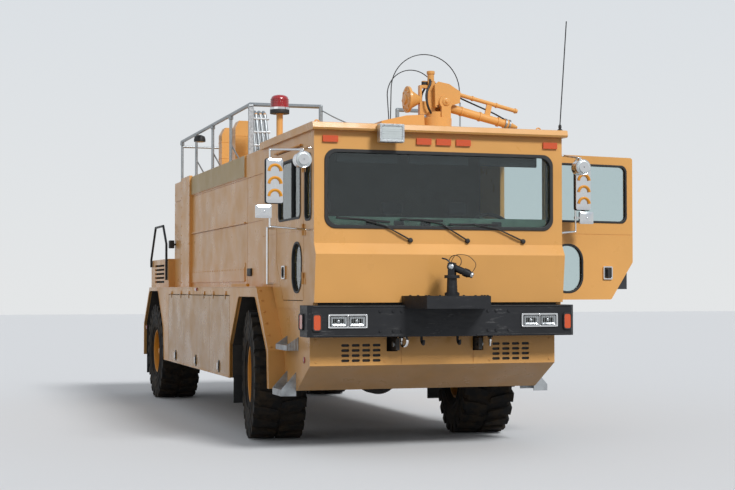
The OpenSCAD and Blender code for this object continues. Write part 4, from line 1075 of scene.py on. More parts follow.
class FIRETRUCK_OT_work_lamp(bpy.types.Operator):
    """Glass, frame and louvres of the work lamp over the windscreen"""
    bl_idname = "firetruck.work_lamp"
    bl_label = "Work lamp"

    def execute(self, context):
        x, z, front = -596, 3272, -175
        ring = ring_frame(0.262, 0.184, 0.014, 0.022, 0.016, 0.004)
        done(ring, "work_lamp_frame", "alloy", moved(x, front + 4, z))
        glass = pad(0.222, 0.144, 0.008, 0.006, 0.004)
        done(glass, "work_lamp_glass", "clear", moved(x, front + 1, z))
        bars = [block(at(x - 108, front - 9, z_), at(x + 108, front - 2, z_ + 4), 0.001, 1)
                for z_ in range(z - 60, z + 61, 24)]
        done(joined(bars), "work_lamp_louvres", "alloy")
        shell = block(at(x - 134, front + 8, 3177), at(x + 134, -91, 3367), 0.012)
        done(shell, "work_lamp_shell", "alloy")
        return {"FINISHED"}


class FIRETRUCK_OT_grilles(bpy.types.Operator):
    """Dark mesh behind the slotted grilles, and the skirt's bolts"""
    bl_idname = "firetruck.grilles"
    bl_label = "Skirt grilles"

    def execute(self, context):
        back = SKIRT_Y + 17
        for side, x in (("right", -810), ("left", 848)):
            mesh = [block(at(x - 240, back, 945), at(x + 240, back + 3, 1160), 0.001, 1)]
            mesh += [block(at(x - 236, back - 3, z), at(x + 236, back, z + 3), 0)
                     for z in range(950, 1150, 11)]
            done(joined(mesh), "grille_mesh_" + side, "rubber")
        places = [moved(x, SKIRT_Y, z) @ FRONT_FACE for x in (-1290, -555, 605, 1290)
                  for z in (1180, 960)]
        bolts(0.018, places, "skirt_bolts", "coach")
        return {"FINISHED"}


class FIRETRUCK_OT_tow_fittings(bpy.types.Operator):
    """Tow rings, hooks and pin heads under the bumper"""
    bl_idname = "firetruck.tow_fittings"
    bl_label = "Tow fittings"

    def execute(self, context):
        for side, word in SIDES:
            ring_x = -411 if side == RIGHT else 570
            bow = [local(0, y, z) for y, z in ((0, 0), (-10, -55), (-75, -55), (-110, 0),
                                               (-75, 55), (-10, 55), (0, 0))]
            done(tube(rounded(bow, 0.03, 6), 0.013), "tow_ring_" + word, "chrome",
                 moved(ring_x, 84, 1170) @ turn(-20 * side, "Z"))
            lug = block(at(ring_x - 22, 60, 1196), at(ring_x + 22, 104, 1219))
            done(lug, "tow_ring_lug_" + word, "black")
            hook = [local(0, y, z) for y, z in ((50, 20), (50, -50), (-20, -70), (-20, -20))]
            done(tube(rounded(hook, 0.03), 0.014), "bumper_hook_" + word, "black",
                 moved(side * 198, 10, 1200))
            pin = turned([(18, 0), (18, 10), (27, 12), (27, 20)], 20)
            done(pin, "tow_pin_head_" + word, "galvanised",
                 moved(side * 475, 110, 1135) @ side_face(side))
        return {"FINISHED"}


# Each side's mirrors: their arm's x and y, then the x of the tall and of the wide mirror
MIRRORS = {RIGHT: (1816, 0, 1777, 1884), LEFT: (1617, 205, 1690, 1734)}


class FIRETRUCK_OT_mirrors(bpy.types.Operator):
    """Chromed shells, arched ribs, glasses and clamps of the mirrors, and the spot lamps"""
    bl_idname = "firetruck.mirrors"
    bl_label = "Mirrors"

    def execute(self, context):
        back = turn(180, "Z")
        for side, word in SIDES:
            x, y, tall, wide = MIRRORS[side]
            tall, wide, lamp = side * tall, side * wide, side * 1520
            done(pad(0.172, 0.44, 0.02, 0.05, 0.01), "mirror_shell_" + word, "chrome",
                 moved(tall, y + 4, 2772))
            done(ring_frame(0.186, 0.452, 0.024, 0.01, 0.03, 0.002), "mirror_rim_" + word,
                 "rubber", moved(tall, y + 5, 2772))
            turns = [math.pi * j / 12 for j in range(13)]
            arcs = [tube([Vector((0.062 * math.cos(a), -0.062, 0.062 * math.sin(a) + 0.125 * k))
                          for a in turns], 0.016, 8) for k in (-1, 0, 1)]
            done(joined(arcs), "mirror_ribs_" + word, "wheel", moved(tall, y + 2, 2742))
            done(pad(0.15, 0.415, 0.014, 0.003, 0.0004), "mirror_glass_" + word, "mirror",
                 moved(tall, y + 3, 2772) @ back)
            pyramid = pad(0.158, 0.13, 0.008, 0.012, 0.012, 3)
            boss = turned([(16, 0), (16, 8), (11, 12), (5, 13)], 16,
                          shift(0, -22, 0) @ FRONT_FACE)
            done(joined([pyramid, boss]), "wide_mirror_shell_" + word, "chrome",
                 moved(wide, y - 22, 2467))
            done(pad(0.156, 0.12, 0.008, 0.002, 0.004, 3), "wide_mirror_glass_" + word,
                 "mirror", moved(wide, y - 3, 2467) @ back)
            clamp = hoop([(9, -14), (17, -14), (17, 14), (9, 14)], 20)
            places = [moved(side * x, y, z) for z in (2592, 2950, 2468)]
            done(copies(clamp, places), "mirror_clamps_" + word, "chrome")
            bowl = turned([(20, 0), (52, 12), (74, 50), (81, 84), (84, 120), (84, 134),
                           (80, 136), (72, 132)], 36, FRONT_FACE)
            done(bowl, "spot_lamp_bowl_" + word, "chrome", moved(lamp, -57, 2980))
            lens = turned([(74, 0), (70, 8), (50, 16), (24, 21), (6, 22)], 36, FRONT_FACE)
            done(lens, "spot_lamp_glass_" + word, "clear", moved(lamp, -188, 2980))
        return {"FINISHED"}


# Each wiper's pivot, the knee of its arm and the two ends of its blade, in x and z
WIPERS = (((-343, 2198), (-616, 2341), (-1134, 2420), (-562, 2382)),
          ((283, 2198), (-9, 2370), (-455, 2410), (13, 2401)),
          ((907, 2198), (613, 2326), (90, 2366), (624, 2368)))


class FIRETRUCK_OT_wipers(bpy.types.Operator):
    """Wiper arms with springs, blade bridges and rubbers in place of the plain ones"""
    bl_idname = "firetruck.wipers"
    bl_label = "Wipers"

    def execute(self, context):
        made = []
        for points in WIPERS:
            pivot, knee, a, b = [Vector(p) for p in points]
            middle = (a + b) / 2
            made.append(tube([at(p.x, y, p.y) for p, y in
                              ((pivot, -24), (knee, -24), (middle, -22))], 0.0085, 8))
            ends = [pivot.lerp(knee, t) for t in (0.12, 0.5)]
            made.append(tube([at(p.x, -30, p.y) for p in ends], 0.008, 8))
            made.append(turned([(26, 0), (26, 18), (20, 30), (10, 33)], 20,
                               moved(pivot.x, 0, pivot.y) @ FRONT_FACE))
            blade = block(local(0, -6, -11), local((b - a).length, 8, 11), 0.002, 1)
            tilt = math.degrees(math.atan2(b.y - a.y, b.x - a.x))
            made.append(moved_by(blade, moved(a.x, -10, a.y) @ turn(-tilt, "Y")))
            for end in (middle.lerp(a, 0.55), middle.lerp(b, 0.55)):
                made.append(tube([at(middle.x, -18, middle.y + 6), at(end.x, -12, end.y)],
                                 0.008, 8))
        piece = done(joined(made), "wiper_set", "rubber")
        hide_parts("wipers")
        return {"FINISHED"}


# Roof: beacon, antennas, rails, ducts and the turret

ROOF_TOP, TANK_TOP = 3378, 3330
BEACON = (-1140, 2300)


class FIRETRUCK_OT_beacon(bpy.types.Operator):
    """Ribbed red dome over a bright ring and a black base on a painted post"""
    bl_idname = "firetruck.beacon"
    bl_label = "Beacon"

    def execute(self, context):
        post = turned([(60, 0), (60, 8), (40, 12), (38, 20), (38, 396), (46, 404)], 28)
        done(post, "beacon_post", "coach", moved(*BEACON, TANK_TOP))
        base = turned([(112, 0), (113, 6), (113, 40), (110, 46)], 40)
        done(base, "beacon_base", "rubber", moved(*BEACON, TANK_TOP + 405))
        ring = hoop([(104, 0), (114, 0), (114, 26), (104, 29)], 40)
        done(ring, "beacon_ring", "chrome", moved(*BEACON, TANK_TOP + 450))
        dome = turned([(106, 0), (107, 14), (105, 60), (103, 96), (92, 124), (70, 138),
                       (40, 145), (12, 147)], 40)
        done(dome, "beacon_dome", "red", moved(*BEACON, TANK_TOP + 478))
        ribs = copies(hoop([(104, 0), (109, 2), (109, 5), (104, 7)], 40),
                      [moved(*BEACON, TANK_TOP + 490 + 19 * k) for k in range(5)])
        done(ribs, "beacon_ribs", "red")
        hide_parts("beacon")
        return {"FINISHED"}


def arc_points(x, z, r, a0, a1, n):
    """Points of x and z along an arc, its two end angles in degrees."""
    turns = [math.radians(a0 + (a1 - a0) * i / n) for i in range(n + 1)]
    return [(x + r * math.cos(a), z + r * math.sin(a)) for a in turns]


class FIRETRUCK_OT_antennas(bpy.types.Operator):
    """Whip antennas on sprung feet: a straight one, and two bent over and tied down"""
    bl_idname = "firetruck.antennas"
    bl_label = "Antennas"

    def execute(self, context):
        foot = turned([(28, 0), (28, 14), (20, 20), (14, 24), (14, 30), (17, 32), (17, 60),
                       (10, 66), (7, 74)], 20)
        # Each whip's y and its line in x and z
        whips = [(40, [(1360, ROOF_TOP + 60), (1440, 4557)]),
                 (2090, [(140, ROOF_TOP + 50)] + arc_points(585, 4050, 430, 180, 0, 24)),
                 (2145, [(162, ROOF_TOP + 50)] + arc_points(430, 3990, 305, 180, 55, 18)
                  + [(1050, 3925)])]
        made = [copies(foot, [moved(line[0][0], y, ROOF_TOP) for y, line in whips])]
        made += [tube([at(x, y, z) for x, z in line], 0.006, 8) for y, line in whips]
        for y, line in whips[1:]:
            x, z = line[-1]
            made.append(tube([at(x, y, z), at(x, y, ROOF_TOP + 24)], 0.003, 6))
            made.append(hoop(circle(13, 4, 6), 16, moved(x, y, ROOF_TOP + 14) @ FRONT_FACE))
        piece = done(joined(made), "whip_antennas", "rubber")
        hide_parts("antennas")
        return {"FINISHED"}


RAIL_X, RAIL_TOP, POSTS_Y = 1250, 3970, (3340, 4470, 5650, 6850, 8000)


class FIRETRUCK_OT_rail_fittings(bpy.types.Operator):
    """Feet, clamps and wide front posts of the roof rail, with a lamp on a rear post"""
    bl_idname = "firetruck.rail_fittings"
    bl_label = "Rail fittings"

    def execute(self, context):
        foot = turned([(52, 0), (52, 8), (30, 12), (25, 34), (22, 40)], 20)
        places = [moved(s * RAIL_X, y, TANK_TOP) for s, _ in SIDES for y in POSTS_Y]
        places += [moved(s * 490, 2850, TANK_TOP) for s, _ in SIDES]
        done(copies(foot, places), "rail_feet", "galvanised")
        clamp = hoop([(22, -26), (32, -22), (32, 22), (22, 26)], 20)
        places = [moved(s * RAIL_X, y, RAIL_TOP - 34) for s, _ in SIDES for y in POSTS_Y]
        done(copies(clamp, places), "rail_clamps", "galvanised")
        flat = []
        for s, _ in SIDES:
            a, b = s * (RAIL_X - 30), s * (RAIL_X + 30)
            flat.append(block(at(a, 3290, TANK_TOP + 8), at(b, 3302, RAIL_TOP - 10), 0.003))
            flat.append(block(at(a, 3290, TANK_TOP + 600), at(b, 3340, TANK_TOP + 612), 0.002))
        done(joined(flat), "front_flat_posts", "alloy")
        rope = [at(-490, 2850, 3872), at(-370, 2700, 3770), at(-210, 2500, 3660),
                at(-30, 2280, 3560), at(128, 2096, 3470)]
        done(tube(rounded(rope, 0.2), 0.008, 8), "rail_rope", "galvanised")
        knee = [tube([at(s * RAIL_X, y + 20, 3600), at(s * (RAIL_X - 150), y + 20, TANK_TOP + 10)],
                     0.011, 8) for s, _ in SIDES for y in POSTS_Y[1:4]]
        done(joined(knee), "rail_braces", "galvanised")
        lamp = turned([(30, 0), (72, 20), (84, 60), (84, 92), (78, 98)], 28)
        down = moved(-RAIL_X, 6600, RAIL_TOP - 44) @ turn(180, "X")
        done(lamp, "deck_lamp_body", "rubber", down)
        glass = turned([(76, 0), (68, 6), (30, 12), (8, 13)], 28)
        done(glass, "deck_lamp_glass", "clear", down @ shift(0, 0, 96))
        return {"FINISHED"}


class FIRETRUCK_OT_roof_fittings(bpy.types.Operator):
    """Flanges and seams of the roof ducts, clamps on the pipes, hatches and lifting eyes"""
    bl_idname = "firetruck.roof_fittings"
    bl_label = "Roof fittings"

    def execute(self, context):
        made = []
        for y in (5400, 6300):
            made.append(block(at(-1036, y - 136, TANK_TOP), at(-764, y + 136, TANK_TOP + 12),
                              0.003, 1))
            made += [block(at(-1016, y - 114, z), at(-784, y + 114, z + 8), 0.002, 1)
                     for z in (3560, 3790)]
        done(joined(made), "duct_flanges", "coach")
        pipes = [tube(rounded([at(x, 4722, TANK_TOP + 1), at(x, 4722, 3400),
                               at(x - 50, 4800, 4030), at(x - 50, 4882, 4071)], 0.002, 2),
                      0.0262, 16) for x in range(-850, -660, 60)]
        pipes.append(tube([at(-1100, 3950, TANK_TOP + 1), at(-1100, 3950, 4002)], 0.0372, 20))
        done(joined(pipes), "vent_pipes", "galvanised")
        straps = [block(at(-884 - 12 * k, 4720 + 22 * k, 3600 + 180 * k),
                        at(-640 - 12 * k, 4786 + 22 * k, 3622 + 180 * k), 0.003)
                  for k in range(3)]
        done(joined(straps), "pipe_straps", "alloy")
        hatches = [block(at(x - 300, y - 260, TANK_TOP + 1), at(x + 300, y + 260, TANK_TOP + 14),
                         0.006) for x, y in ((0, 3900), (0, 4900), (300, 6900))]
        done(joined(hatches), "roof_hatches", "coach")
        rivet = turned([(9, 0), (8, 3), (4, 5)], 8)
        places = [moved(s * 1300, y, ROOF_TOP) for s, _ in SIDES for y in range(60, 2200, 178)]
        places += [moved(x, 20, ROOF_TOP) for x in range(-1230, 1300, 176)]
        done(copies(rivet, places), "roof_rivets", "coach")
        eye = hoop(circle(26, 8, 8), 20, FRONT_FACE)
        foot = block(local(-40, -20, -34), local(40, 20, -24), 0.002, 1)
        places = [moved(x, y, ROOF_TOP + 34) for x in (-1240, 1240) for y in (330, 2080)]
        done(copies(joined([eye, foot]), places), "lifting_eyes", "coach")
        return {"FINISHED"}


FLANGE_RISE = 240.3


def along(place, distances, z=0):
    """Places for rings round a barrel, along it toward its tip."""
    return [place @ shift(0, -away, z) @ FRONT_FACE for away in distances]


class FIRETRUCK_OT_turret_fittings(bpy.types.Operator):
    """Flange bolts, pivot caps, hoses, sight lamp and nozzle rings of the roof turret"""
    bl_idname = "firetruck.turret_fittings"
    bl_label = "Turret fittings"

    def execute(self, context):
        x, y, z = TURRET
        head, barrel, width = head_place(), barrel_place(), context.scene.truck_sizes.bolt
        bolts(width, around(moved(x, y, ROOF_TOP + 60), 12, "Z", 250, 0, 0),
              "turret_base_bolts", "coach")
        bolts(width * 0.8, around(head, 10, "Z", 150, 0, ROOF_TOP + FLANGE_RISE - z, first=18),
              "turret_flange_bolts", "coach", "roof_turret")
        cap = turned([(44, 0), (44, 8), (36, 14), (18, 16), (14, 30), (6, 32)], 28)
        caps = [head @ shift(s * 128, -PIVOT_OUT, 0) @ side_face(s) for s, _ in SIDES]
        done(copies(cap, caps), "turret_pivot_caps", "coach", body="roof_turret")
        hoses = [tube(rounded([local(s * 60, 60, -150), local(s * 92, 130, -60),
                               local(s * 84, 150, 90), local(s * 60, 80, 210),
                               local(s * 20, 75, 262)], 0.07, 6), 0.013) for s, _ in SIDES]
        done(joined(hoses), "turret_hoses", "rubber", head, "roof_turret")
        cup = turned([(40, 0), (46, 4), (46, 34), (40, 38), (20, 40)], 24)
        done(cup, "turret_top_cup", "coach", head @ shift(0, 59, 318), "roof_turret")
        knob = turned([(30, 0), (33, 6), (33, 40), (26, 50), (10, 54)], 24)
        done(knob, "turret_knob", "rubber", head @ shift(0, 136, 190), "roof_turret")
        cover = turned([(134, 0), (128, 8), (60, 16), (54, 30), (20, 34)], 44)
        done(cover, "drum_cover", "coach", head @ shift(0, 347, 25) @ REAR_FACE, "roof_turret")
        rim = hoop([(132, 0), (149, 0), (149, 22), (140, 27), (132, 27)], 44)
        done(rim, "drum_rim", "coach", head @ shift(0, 326, 25) @ REAR_FACE, "roof_turret")
        ring = [head @ shift(u, 354, 25 + v) @ REAR_FACE for u, v in circle(0, 110, 8)]
        bolts(width, ring, "drum_bolts", "coach", "roof_turret")
        band = hoop([(44, -9), (56, -9), (56, 9), (44, 9)], 32)
        done(copies(band, along(barrel, (60, 240, 470, 700), -32)), "barrel_bands", "coach",
             body="roof_barrel")
        collar = hoop([(50, -14), (62, -10), (62, 10), (50, 14)], 32)
        done(copies(collar, along(barrel, (790, 836), -32)), "barrel_collars", "galvanised",
             body="roof_barrel")
        hose = rounded([local(26, -90, 150), local(34, -200, 120), local(40, -420, 90),
                        local(34, -640, 60), local(20, -790, 20)], 0.12, 6)
        done(tube(hose, 0.009), "barrel_hose", "rubber", barrel, "roof_barrel")
        clip = hoop([(20, -8), (30, -8), (30, 8), (20, 8)], 24)
        done(copies(clip, along(barrel, (130, 340, 640, 880), 147)), "upper_tube_clips", "coach",
             body="roof_barrel")
        return {"FINISHED"}


class FIRETRUCK_OT_nozzle_fittings(bpy.types.Operator):
    """Grooved sleeve, side caps, bolts and cable of the bumper nozzle"""
    bl_idname = "firetruck.nozzle_fittings"
    bl_label = "Bumper nozzle fittings"

    def execute(self, context):
        x, y, z = NOZZLE
        ring = around(moved(x, y, SHELF_TOP), 6, "Z", 62, 0, 30.3, first=NOZZLE_TURN)
        bolts(0.014, ring, "nozzle_foot_bolts", "black", "nose_swivel")
        swivel = moved(x, y, z) @ turn(NOZZLE_TURN, "Z")
        caps = [swivel @ shift(s * 66, 0, 0) @ side_face(s) for s, _ in SIDES]
        cap = turned([(26, 0), (26, 5), (18, 11), (8, 13)], 24)
        done(copies(cap, caps), "nozzle_side_caps", "alloy", body="nose_swivel")
        tip = swivel @ turn(NOZZLE_DROP, "X")
        groove = hoop([(26, -4), (43, -4), (43, 4), (26, 4)], 28)
        done(copies(groove, along(tip, (136, 150, 164, 178))), "nozzle_sleeve_rings", "black",
             body="nose_nozzle")
        sleeve = turned([(35.6, 127), (40, 132), (40, 182), (36, 190), (30, 206)], 28, FRONT_FACE)
        hub = turned([(30, -43), (46, -38), (47, 38), (30, 43)], 32, turn(90, "Y"))
        lever = tube(rounded([local(0, 20, 20), local(0, 70, 50), local(0, 128, 40)], 0.03), 0.009)
        done(joined([sleeve, hub, lever]), "nozzle_body", "black", tip, "nose_nozzle")
        cable = rounded([local(10, 30, 36), local(10, 22, 128), local(6, -110, 176),
                         local(4, -226, 120), local(0, -212, 29)], 0.09, 8)
        done(tube(cable, 0.0035, 6), "nozzle_cable", "rubber", tip, "nose_nozzle")
        mouth = hoop([(19, -12), (30, -12), (31, 0), (26, 10), (19, 10)], 28)
        done(mouth, "nozzle_mouth", "alloy", tip @ shift(0, -222, 0) @ FRONT_FACE, "nose_nozzle")
        return {"FINISHED"}


# Body sides, lids, tank and rear

BODY_HALF, TANK_HALF, LEDGE_Z, BODY_Z, REAR_Y = 1537, 1326, 1728, 632, 9900
# Each lid's first y and its length; then the wheel openings and their liners in y and z
LIDS = ((3180, 1230), (4410, 1820), (6230, 1270))
FRONT_ARCH = ((1225, 632), (1265, 1030), (1820, 1620), (2680, 1620), (3172, 1030), (3172, 632))
REAR_ARCH = ((7900, 632), (7980, 1130), (8470, 1680), (9290, 1680), (9850, 1130), (9850, 632))
FRONT_LINER = ((1230, 634), (1270, 1029), (1812, 1695), (2675, 1695), (2675, 1600),
               (3167, 1028), (3167, 634))
REAR_LINER = ((7905, 634), (7985, 1128), (8474, 1676), (8474, 1695), (9286, 1695),
              (9286, 1676), (9845, 1128), (9845, 634))
LINER_SHEET, LINER_FLAT_Z = 4, 1600


class FIRETRUCK_OT_lid_fittings(bpy.types.Operator):
    """Latches and grip lips of the six locker lids"""
    bl_idname = "firetruck.lid_fittings"
    bl_label = "Lid fittings"

    def execute(self, context):
        for side, word in SIDES:
            for i, (y, length) in enumerate(LIDS):
                name = "%s_%d" % (word, i + 1)
                body = "locker_" + name
                out = moved(side * BODY_HALF, y + length / 2, BODY_Z + 110) @ side_turn(side)
                back = pad(0.062, 0.15, 0.022, 0.007, 0.002)
                done(back, "latch_plate_" + name, "rubber", out, body)
                grip = block(local(-13, -28, -46), local(13, -9, 46), 0.006)
                pin = block(local(-9, -14, -60), local(9, -6, -40), 0.002)
                done(joined([grip, pin]), "latch_lever_" + name, "chrome", out, body)
                lip = block(at(side * (BODY_HALF - 1), y + 30, BODY_Z + 6),
                            at(side * (BODY_HALF + 7), y + length - 34, BODY_Z + 20), 0.003)
                done(lip, "lid_lip_" + name, "coach", body=body)
        return {"FINISHED"}


def bent_sheet(path, width):
    """Sheet bent along a line of y and z, its thickness toward the wheel."""
    middle = (path[0][0] + path[-1][0]) / 2
    inner = [(y + math.copysign(LINER_SHEET, middle - y),
              z - (LINER_SHEET if z > LINER_FLAT_Z else 0)) for y, z in path]
    return plate([(y * MM, z * MM) for y, z in [*path, *reversed(inner)]], width)


class FIRETRUCK_OT_body_trim(bpy.types.Operator):
    """Arch edges, ledge bead, fender bolts, liners, reflectors and flaps of the body sides"""
    bl_idname = "firetruck.body_trim"
    bl_label = "Body trim"

    def execute(self, context):
        for side, word in SIDES:
            x = side * (BODY_HALF - 3)
            beads = [tube(rounded([at(x, y, z) for y, z in arch], 0.05, 4), 0.009, 8)
                     for arch in (FRONT_ARCH, REAR_ARCH)]
            beads.append(tube([at(x, 1790, LEDGE_Z - 5), at(x, 9330, LEDGE_Z - 5)], 0.008, 8))
            done(joined(beads), "fender_beads_" + word, "coach")
            lens = pad(0.13, 0.036, 0.012, 0.016, 0.004)
            done(lens, "side_marker_" + word, "red",
                 moved(side * BODY_HALF, 5293, 1698) @ side_turn(side))
            strip = block(at(side * 1496, 2290, LEDGE_Z), at(side * 1534, 3100, LEDGE_Z + 34),
                          0.006)
            done(strip, "ledge_strip_" + word, "wheel")
            gutter = block(at(side * 1360, 470, 3184), at(side * 1384, 1590, 3200))
            done(gutter, "door_gutter_" + word, "wheel")
            slope = [moved(side * x_, 1211 + 569 * t, 1040 + 688 * t) @ turn(50.4, "X")
                     for x_ in (1010, 1500) for t in (0.06, 0.24, 0.42, 0.6, 0.78, 0.94)]
            bolts(0.026, slope, "fender_bolts_" + word, "coach")
            liner_place = moved(1500 if side == LEFT else -995, 0, 0) @ turn(90, "Z")
            for path, end in ((FRONT_LINER, "front"), (REAR_LINER, "rear")):
                done(bent_sheet(path, 0.505), "wheelhouse_%s_%s" % (end, word), "chassis",
                     liner_place)
            lens = turned([(34, 0), (34, 6), (30, 9), (10, 10)], 24)
            places = [moved(side * x_, y, z) @ side_face(side)
                      for x_, y, z in ((1353, 393, 973), (BODY_HALF, 9600, 1080))]
            done(copies(lens, places), "round_reflectors_" + word, "red")
            flaps = [block(at(side * 990, y, 330), at(side * 1490, y + 10, 668), 0.003)
                     for y in (3152, 9852)]
            done(joined(flaps), "mud_flaps_" + word, "rubber")
        return {"FINISHED"}


class FIRETRUCK_OT_tank_trim(bpy.types.Operator):
    """Weathered top band, rivet strips, latches and seams of the tank's sides"""
    bl_idname = "firetruck.tank_trim"
    bl_label = "Tank trim"

    def execute(self, context):
        pitch = context.scene.truck_sizes.rivet_pitch / MM
        rivet = turned([(9, 0), (8.4, 3), (5, 5.5), (2, 6)], 8)
        places = []
        for side, word in SIDES:
            face, skin = side_face(side), side * TANK_HALF
            root, strip = skin - side, skin + 12 * side
            faded = block(at(strip, 3252, 3072), at(skin + 17 * side, 6738, 3328), 0.003)
            done(faded, "tank_band_" + word, "band")
            lip = block(at(root, 3254, 2498), at(skin + 18 * side, 6738, 2518))
            band = block(at(root, 3262, 1790), at(strip, 6738, 1966), 0.005)
            done(joined([lip, band]), "tank_ribs_" + word, "coach")
            places += [moved(strip, 3290 + pitch * k, 1941) @ face
                       for k in range(int(3400 / pitch) + 1)]
            places += [moved(skin + 44 * side, y, z) @ face
                       for y in (6775, 7375) for z in range(1800, 3340, 140)]
            places += [moved(skin, y, z) @ face
                       for y in (2290, 8160) for z in range(1800, 3300, 150)]
            latch = pad(0.2, 0.092, 0.012, 0.018, 0.006)
            done(latch, "tank_latch_" + word, "rubber",
                 moved(skin, 2990, 1903) @ side_turn(side))
            stalk = block(at(root, 8120, 2375), at(side * 1352, 8180, 2405))
            box = block(at(side * 1350, 8090, 2330), at(side * 1424, 8198, 2452), 0.008)
            done(joined([stalk, box]), "junction_box_" + word, "rubber")
        done(copies(rivet, places), "tank_rivets", "coach")
        return {"FINISHED"}


class FIRETRUCK_OT_rear_fittings(bpy.types.Operator):
    """Tail lamps, radiator cores, ladder and cover handles at the back"""
    bl_idname = "firetruck.rear_fittings"
    bl_label = "Rear fittings"

    def execute(self, context):
        lamps = (("red", 1080, "stop"), ("amber", 1220, "turn"), ("clear", 1360, "reversing"))
        lens = turned([(52, 0), (54, 8), (50, 20), (36, 27), (10, 30)], 32)
        for finish, x, word in lamps:
            places = [moved(s * x, REAR_Y + 8, 960) @ REAR_FACE for s, _ in SIDES]
            done(copies(twin_of(lens), places), word + "_lamps", finish)
        bpy.data.objects.remove(lens)
        rim = hoop([(50, 0), (62, 0), (62, 16), (54, 18)], 32)
        places = [moved(s * lamp[1], REAR_Y, 960) @ REAR_FACE for s, _ in SIDES for lamp in lamps]
        done(copies(rim, places), "tail_lamp_rims", "rubber")
        core = []
        for s, _ in SIDES:
            core.append(block(at(s * 1382, 8560, 1785), at(s * 1388, 9540, 2112), 0.001, 1))
            core += [block(at(s * 1387, y, 1790), at(s * 1393, y + 5, 2108), 0)
                     for y in range(8570, 9530, 30)]
        core.append(block(at(-940, 9820, 1785), at(940, 9826, 2112), 0.001, 1))
        core += [block(at(x, 9825, 1790), at(x + 5, 9832, 2108), 0)
                 for x in range(-930, 930, 30)]
        done(joined(core), "radiator_cores", "rubber")
        rungs = [tube([at(-1100, 9905, z), at(-760, 9905, z)], 0.014, 8)
                 for z in range(1260, 2000, 240)]
        posts = [tube(rounded([at(x, 9866, 2120), at(x, 9905, 2120), at(x, 9905, 1180),
                               at(x, 9866, 1180)], 0.03), 0.016, 8) for x in (-1100, -760)]
        done(joined(rungs + posts), "rear_ladder", "galvanised")
        handles = [tube(rounded([at(x - 90, 9862, 2124), at(x - 90, 9905, 2124),
                                 at(x + 90, 9905, 2124), at(x + 90, 9862, 2124)], 0.02), 0.009, 8)
                   for x in (-350, 350)]
        done(joined(handles), "cover_handles", "chrome")
        done(pad(0.34, 0.18, 0.01, 0.004, 0.001), "blank_plate", "alloy",
             moved(1220, REAR_Y, 775) @ turn(180, "Z"))
        return {"FINISHED"}


# Wheels and chassis


class FIRETRUCK_OT_wheel_fittings(bpy.types.Operator):
    """Nuts, hub caps, valves and moulded ribs of the four wheels"""
    bl_idname = "firetruck.wheel_fittings"
    bl_label = "Wheel fittings"

    def execute(self, context):
        count, outward = context.scene.truck_sizes.wheel_nuts, turn(90, "Y")
        for side, word, end in [(*pair, end) for pair in SIDES for end in ("front", "rear")]:
            place, name = wheel_place(side, end == "front"), "%s_%s" % (end, word)
            body = "wheel_" + name
            nuts = [p @ outward for p in around(place, count, "X", 169, 0, 131)]
            done(copies(hex_bolt(0.036, 0.03), nuts), "wheel_nuts_" + name, "galvanised",
                 body=body)
            cap = turned([(84, 204), (84, 214), (76, 222), (46, 226), (44, 236), (20, 240)], 32)
            done(cap, "hub_cap_" + name, "wheel", place @ outward, body)
            studs = [p @ outward for p in around(place, 8, "X", 204, 0, 95)]
            done(copies(hex_bolt(0.016, 0.009), studs), "hub_bolts_" + name, "galvanised",
                 body=body)
            valve = tube([local(150, 0, 262), local(196, 0, 262), local(214, 0, 250)], 0.006, 8)
            done(valve, "valve_" + name, "chrome", place, body)
            ribs = [hoop([(r - 7, x - 8), (r - 5, x + 3), (r + 5, x + 3), (r + 7, x - 8)], 96, face)
                    for face in (outward @ turn(180, "X"), outward)
                    for r, x in ((392, 290), (470, 300), (556, 299))]
            bead = hoop([(318, 232), (334, 236), (340, 252), (330, 262), (318, 256)], 72, outward)
            done(joined(ribs), "tyre_ribs_" + name, "tyre", place, body)
            done(bead, "rim_lock_ring_" + name, "wheel", place, body)
        return {"FINISHED"}


# Each air tank's side and front end
AIR_TANKS = ((RIGHT, 3400), (LEFT, 3400), (RIGHT, 4420))


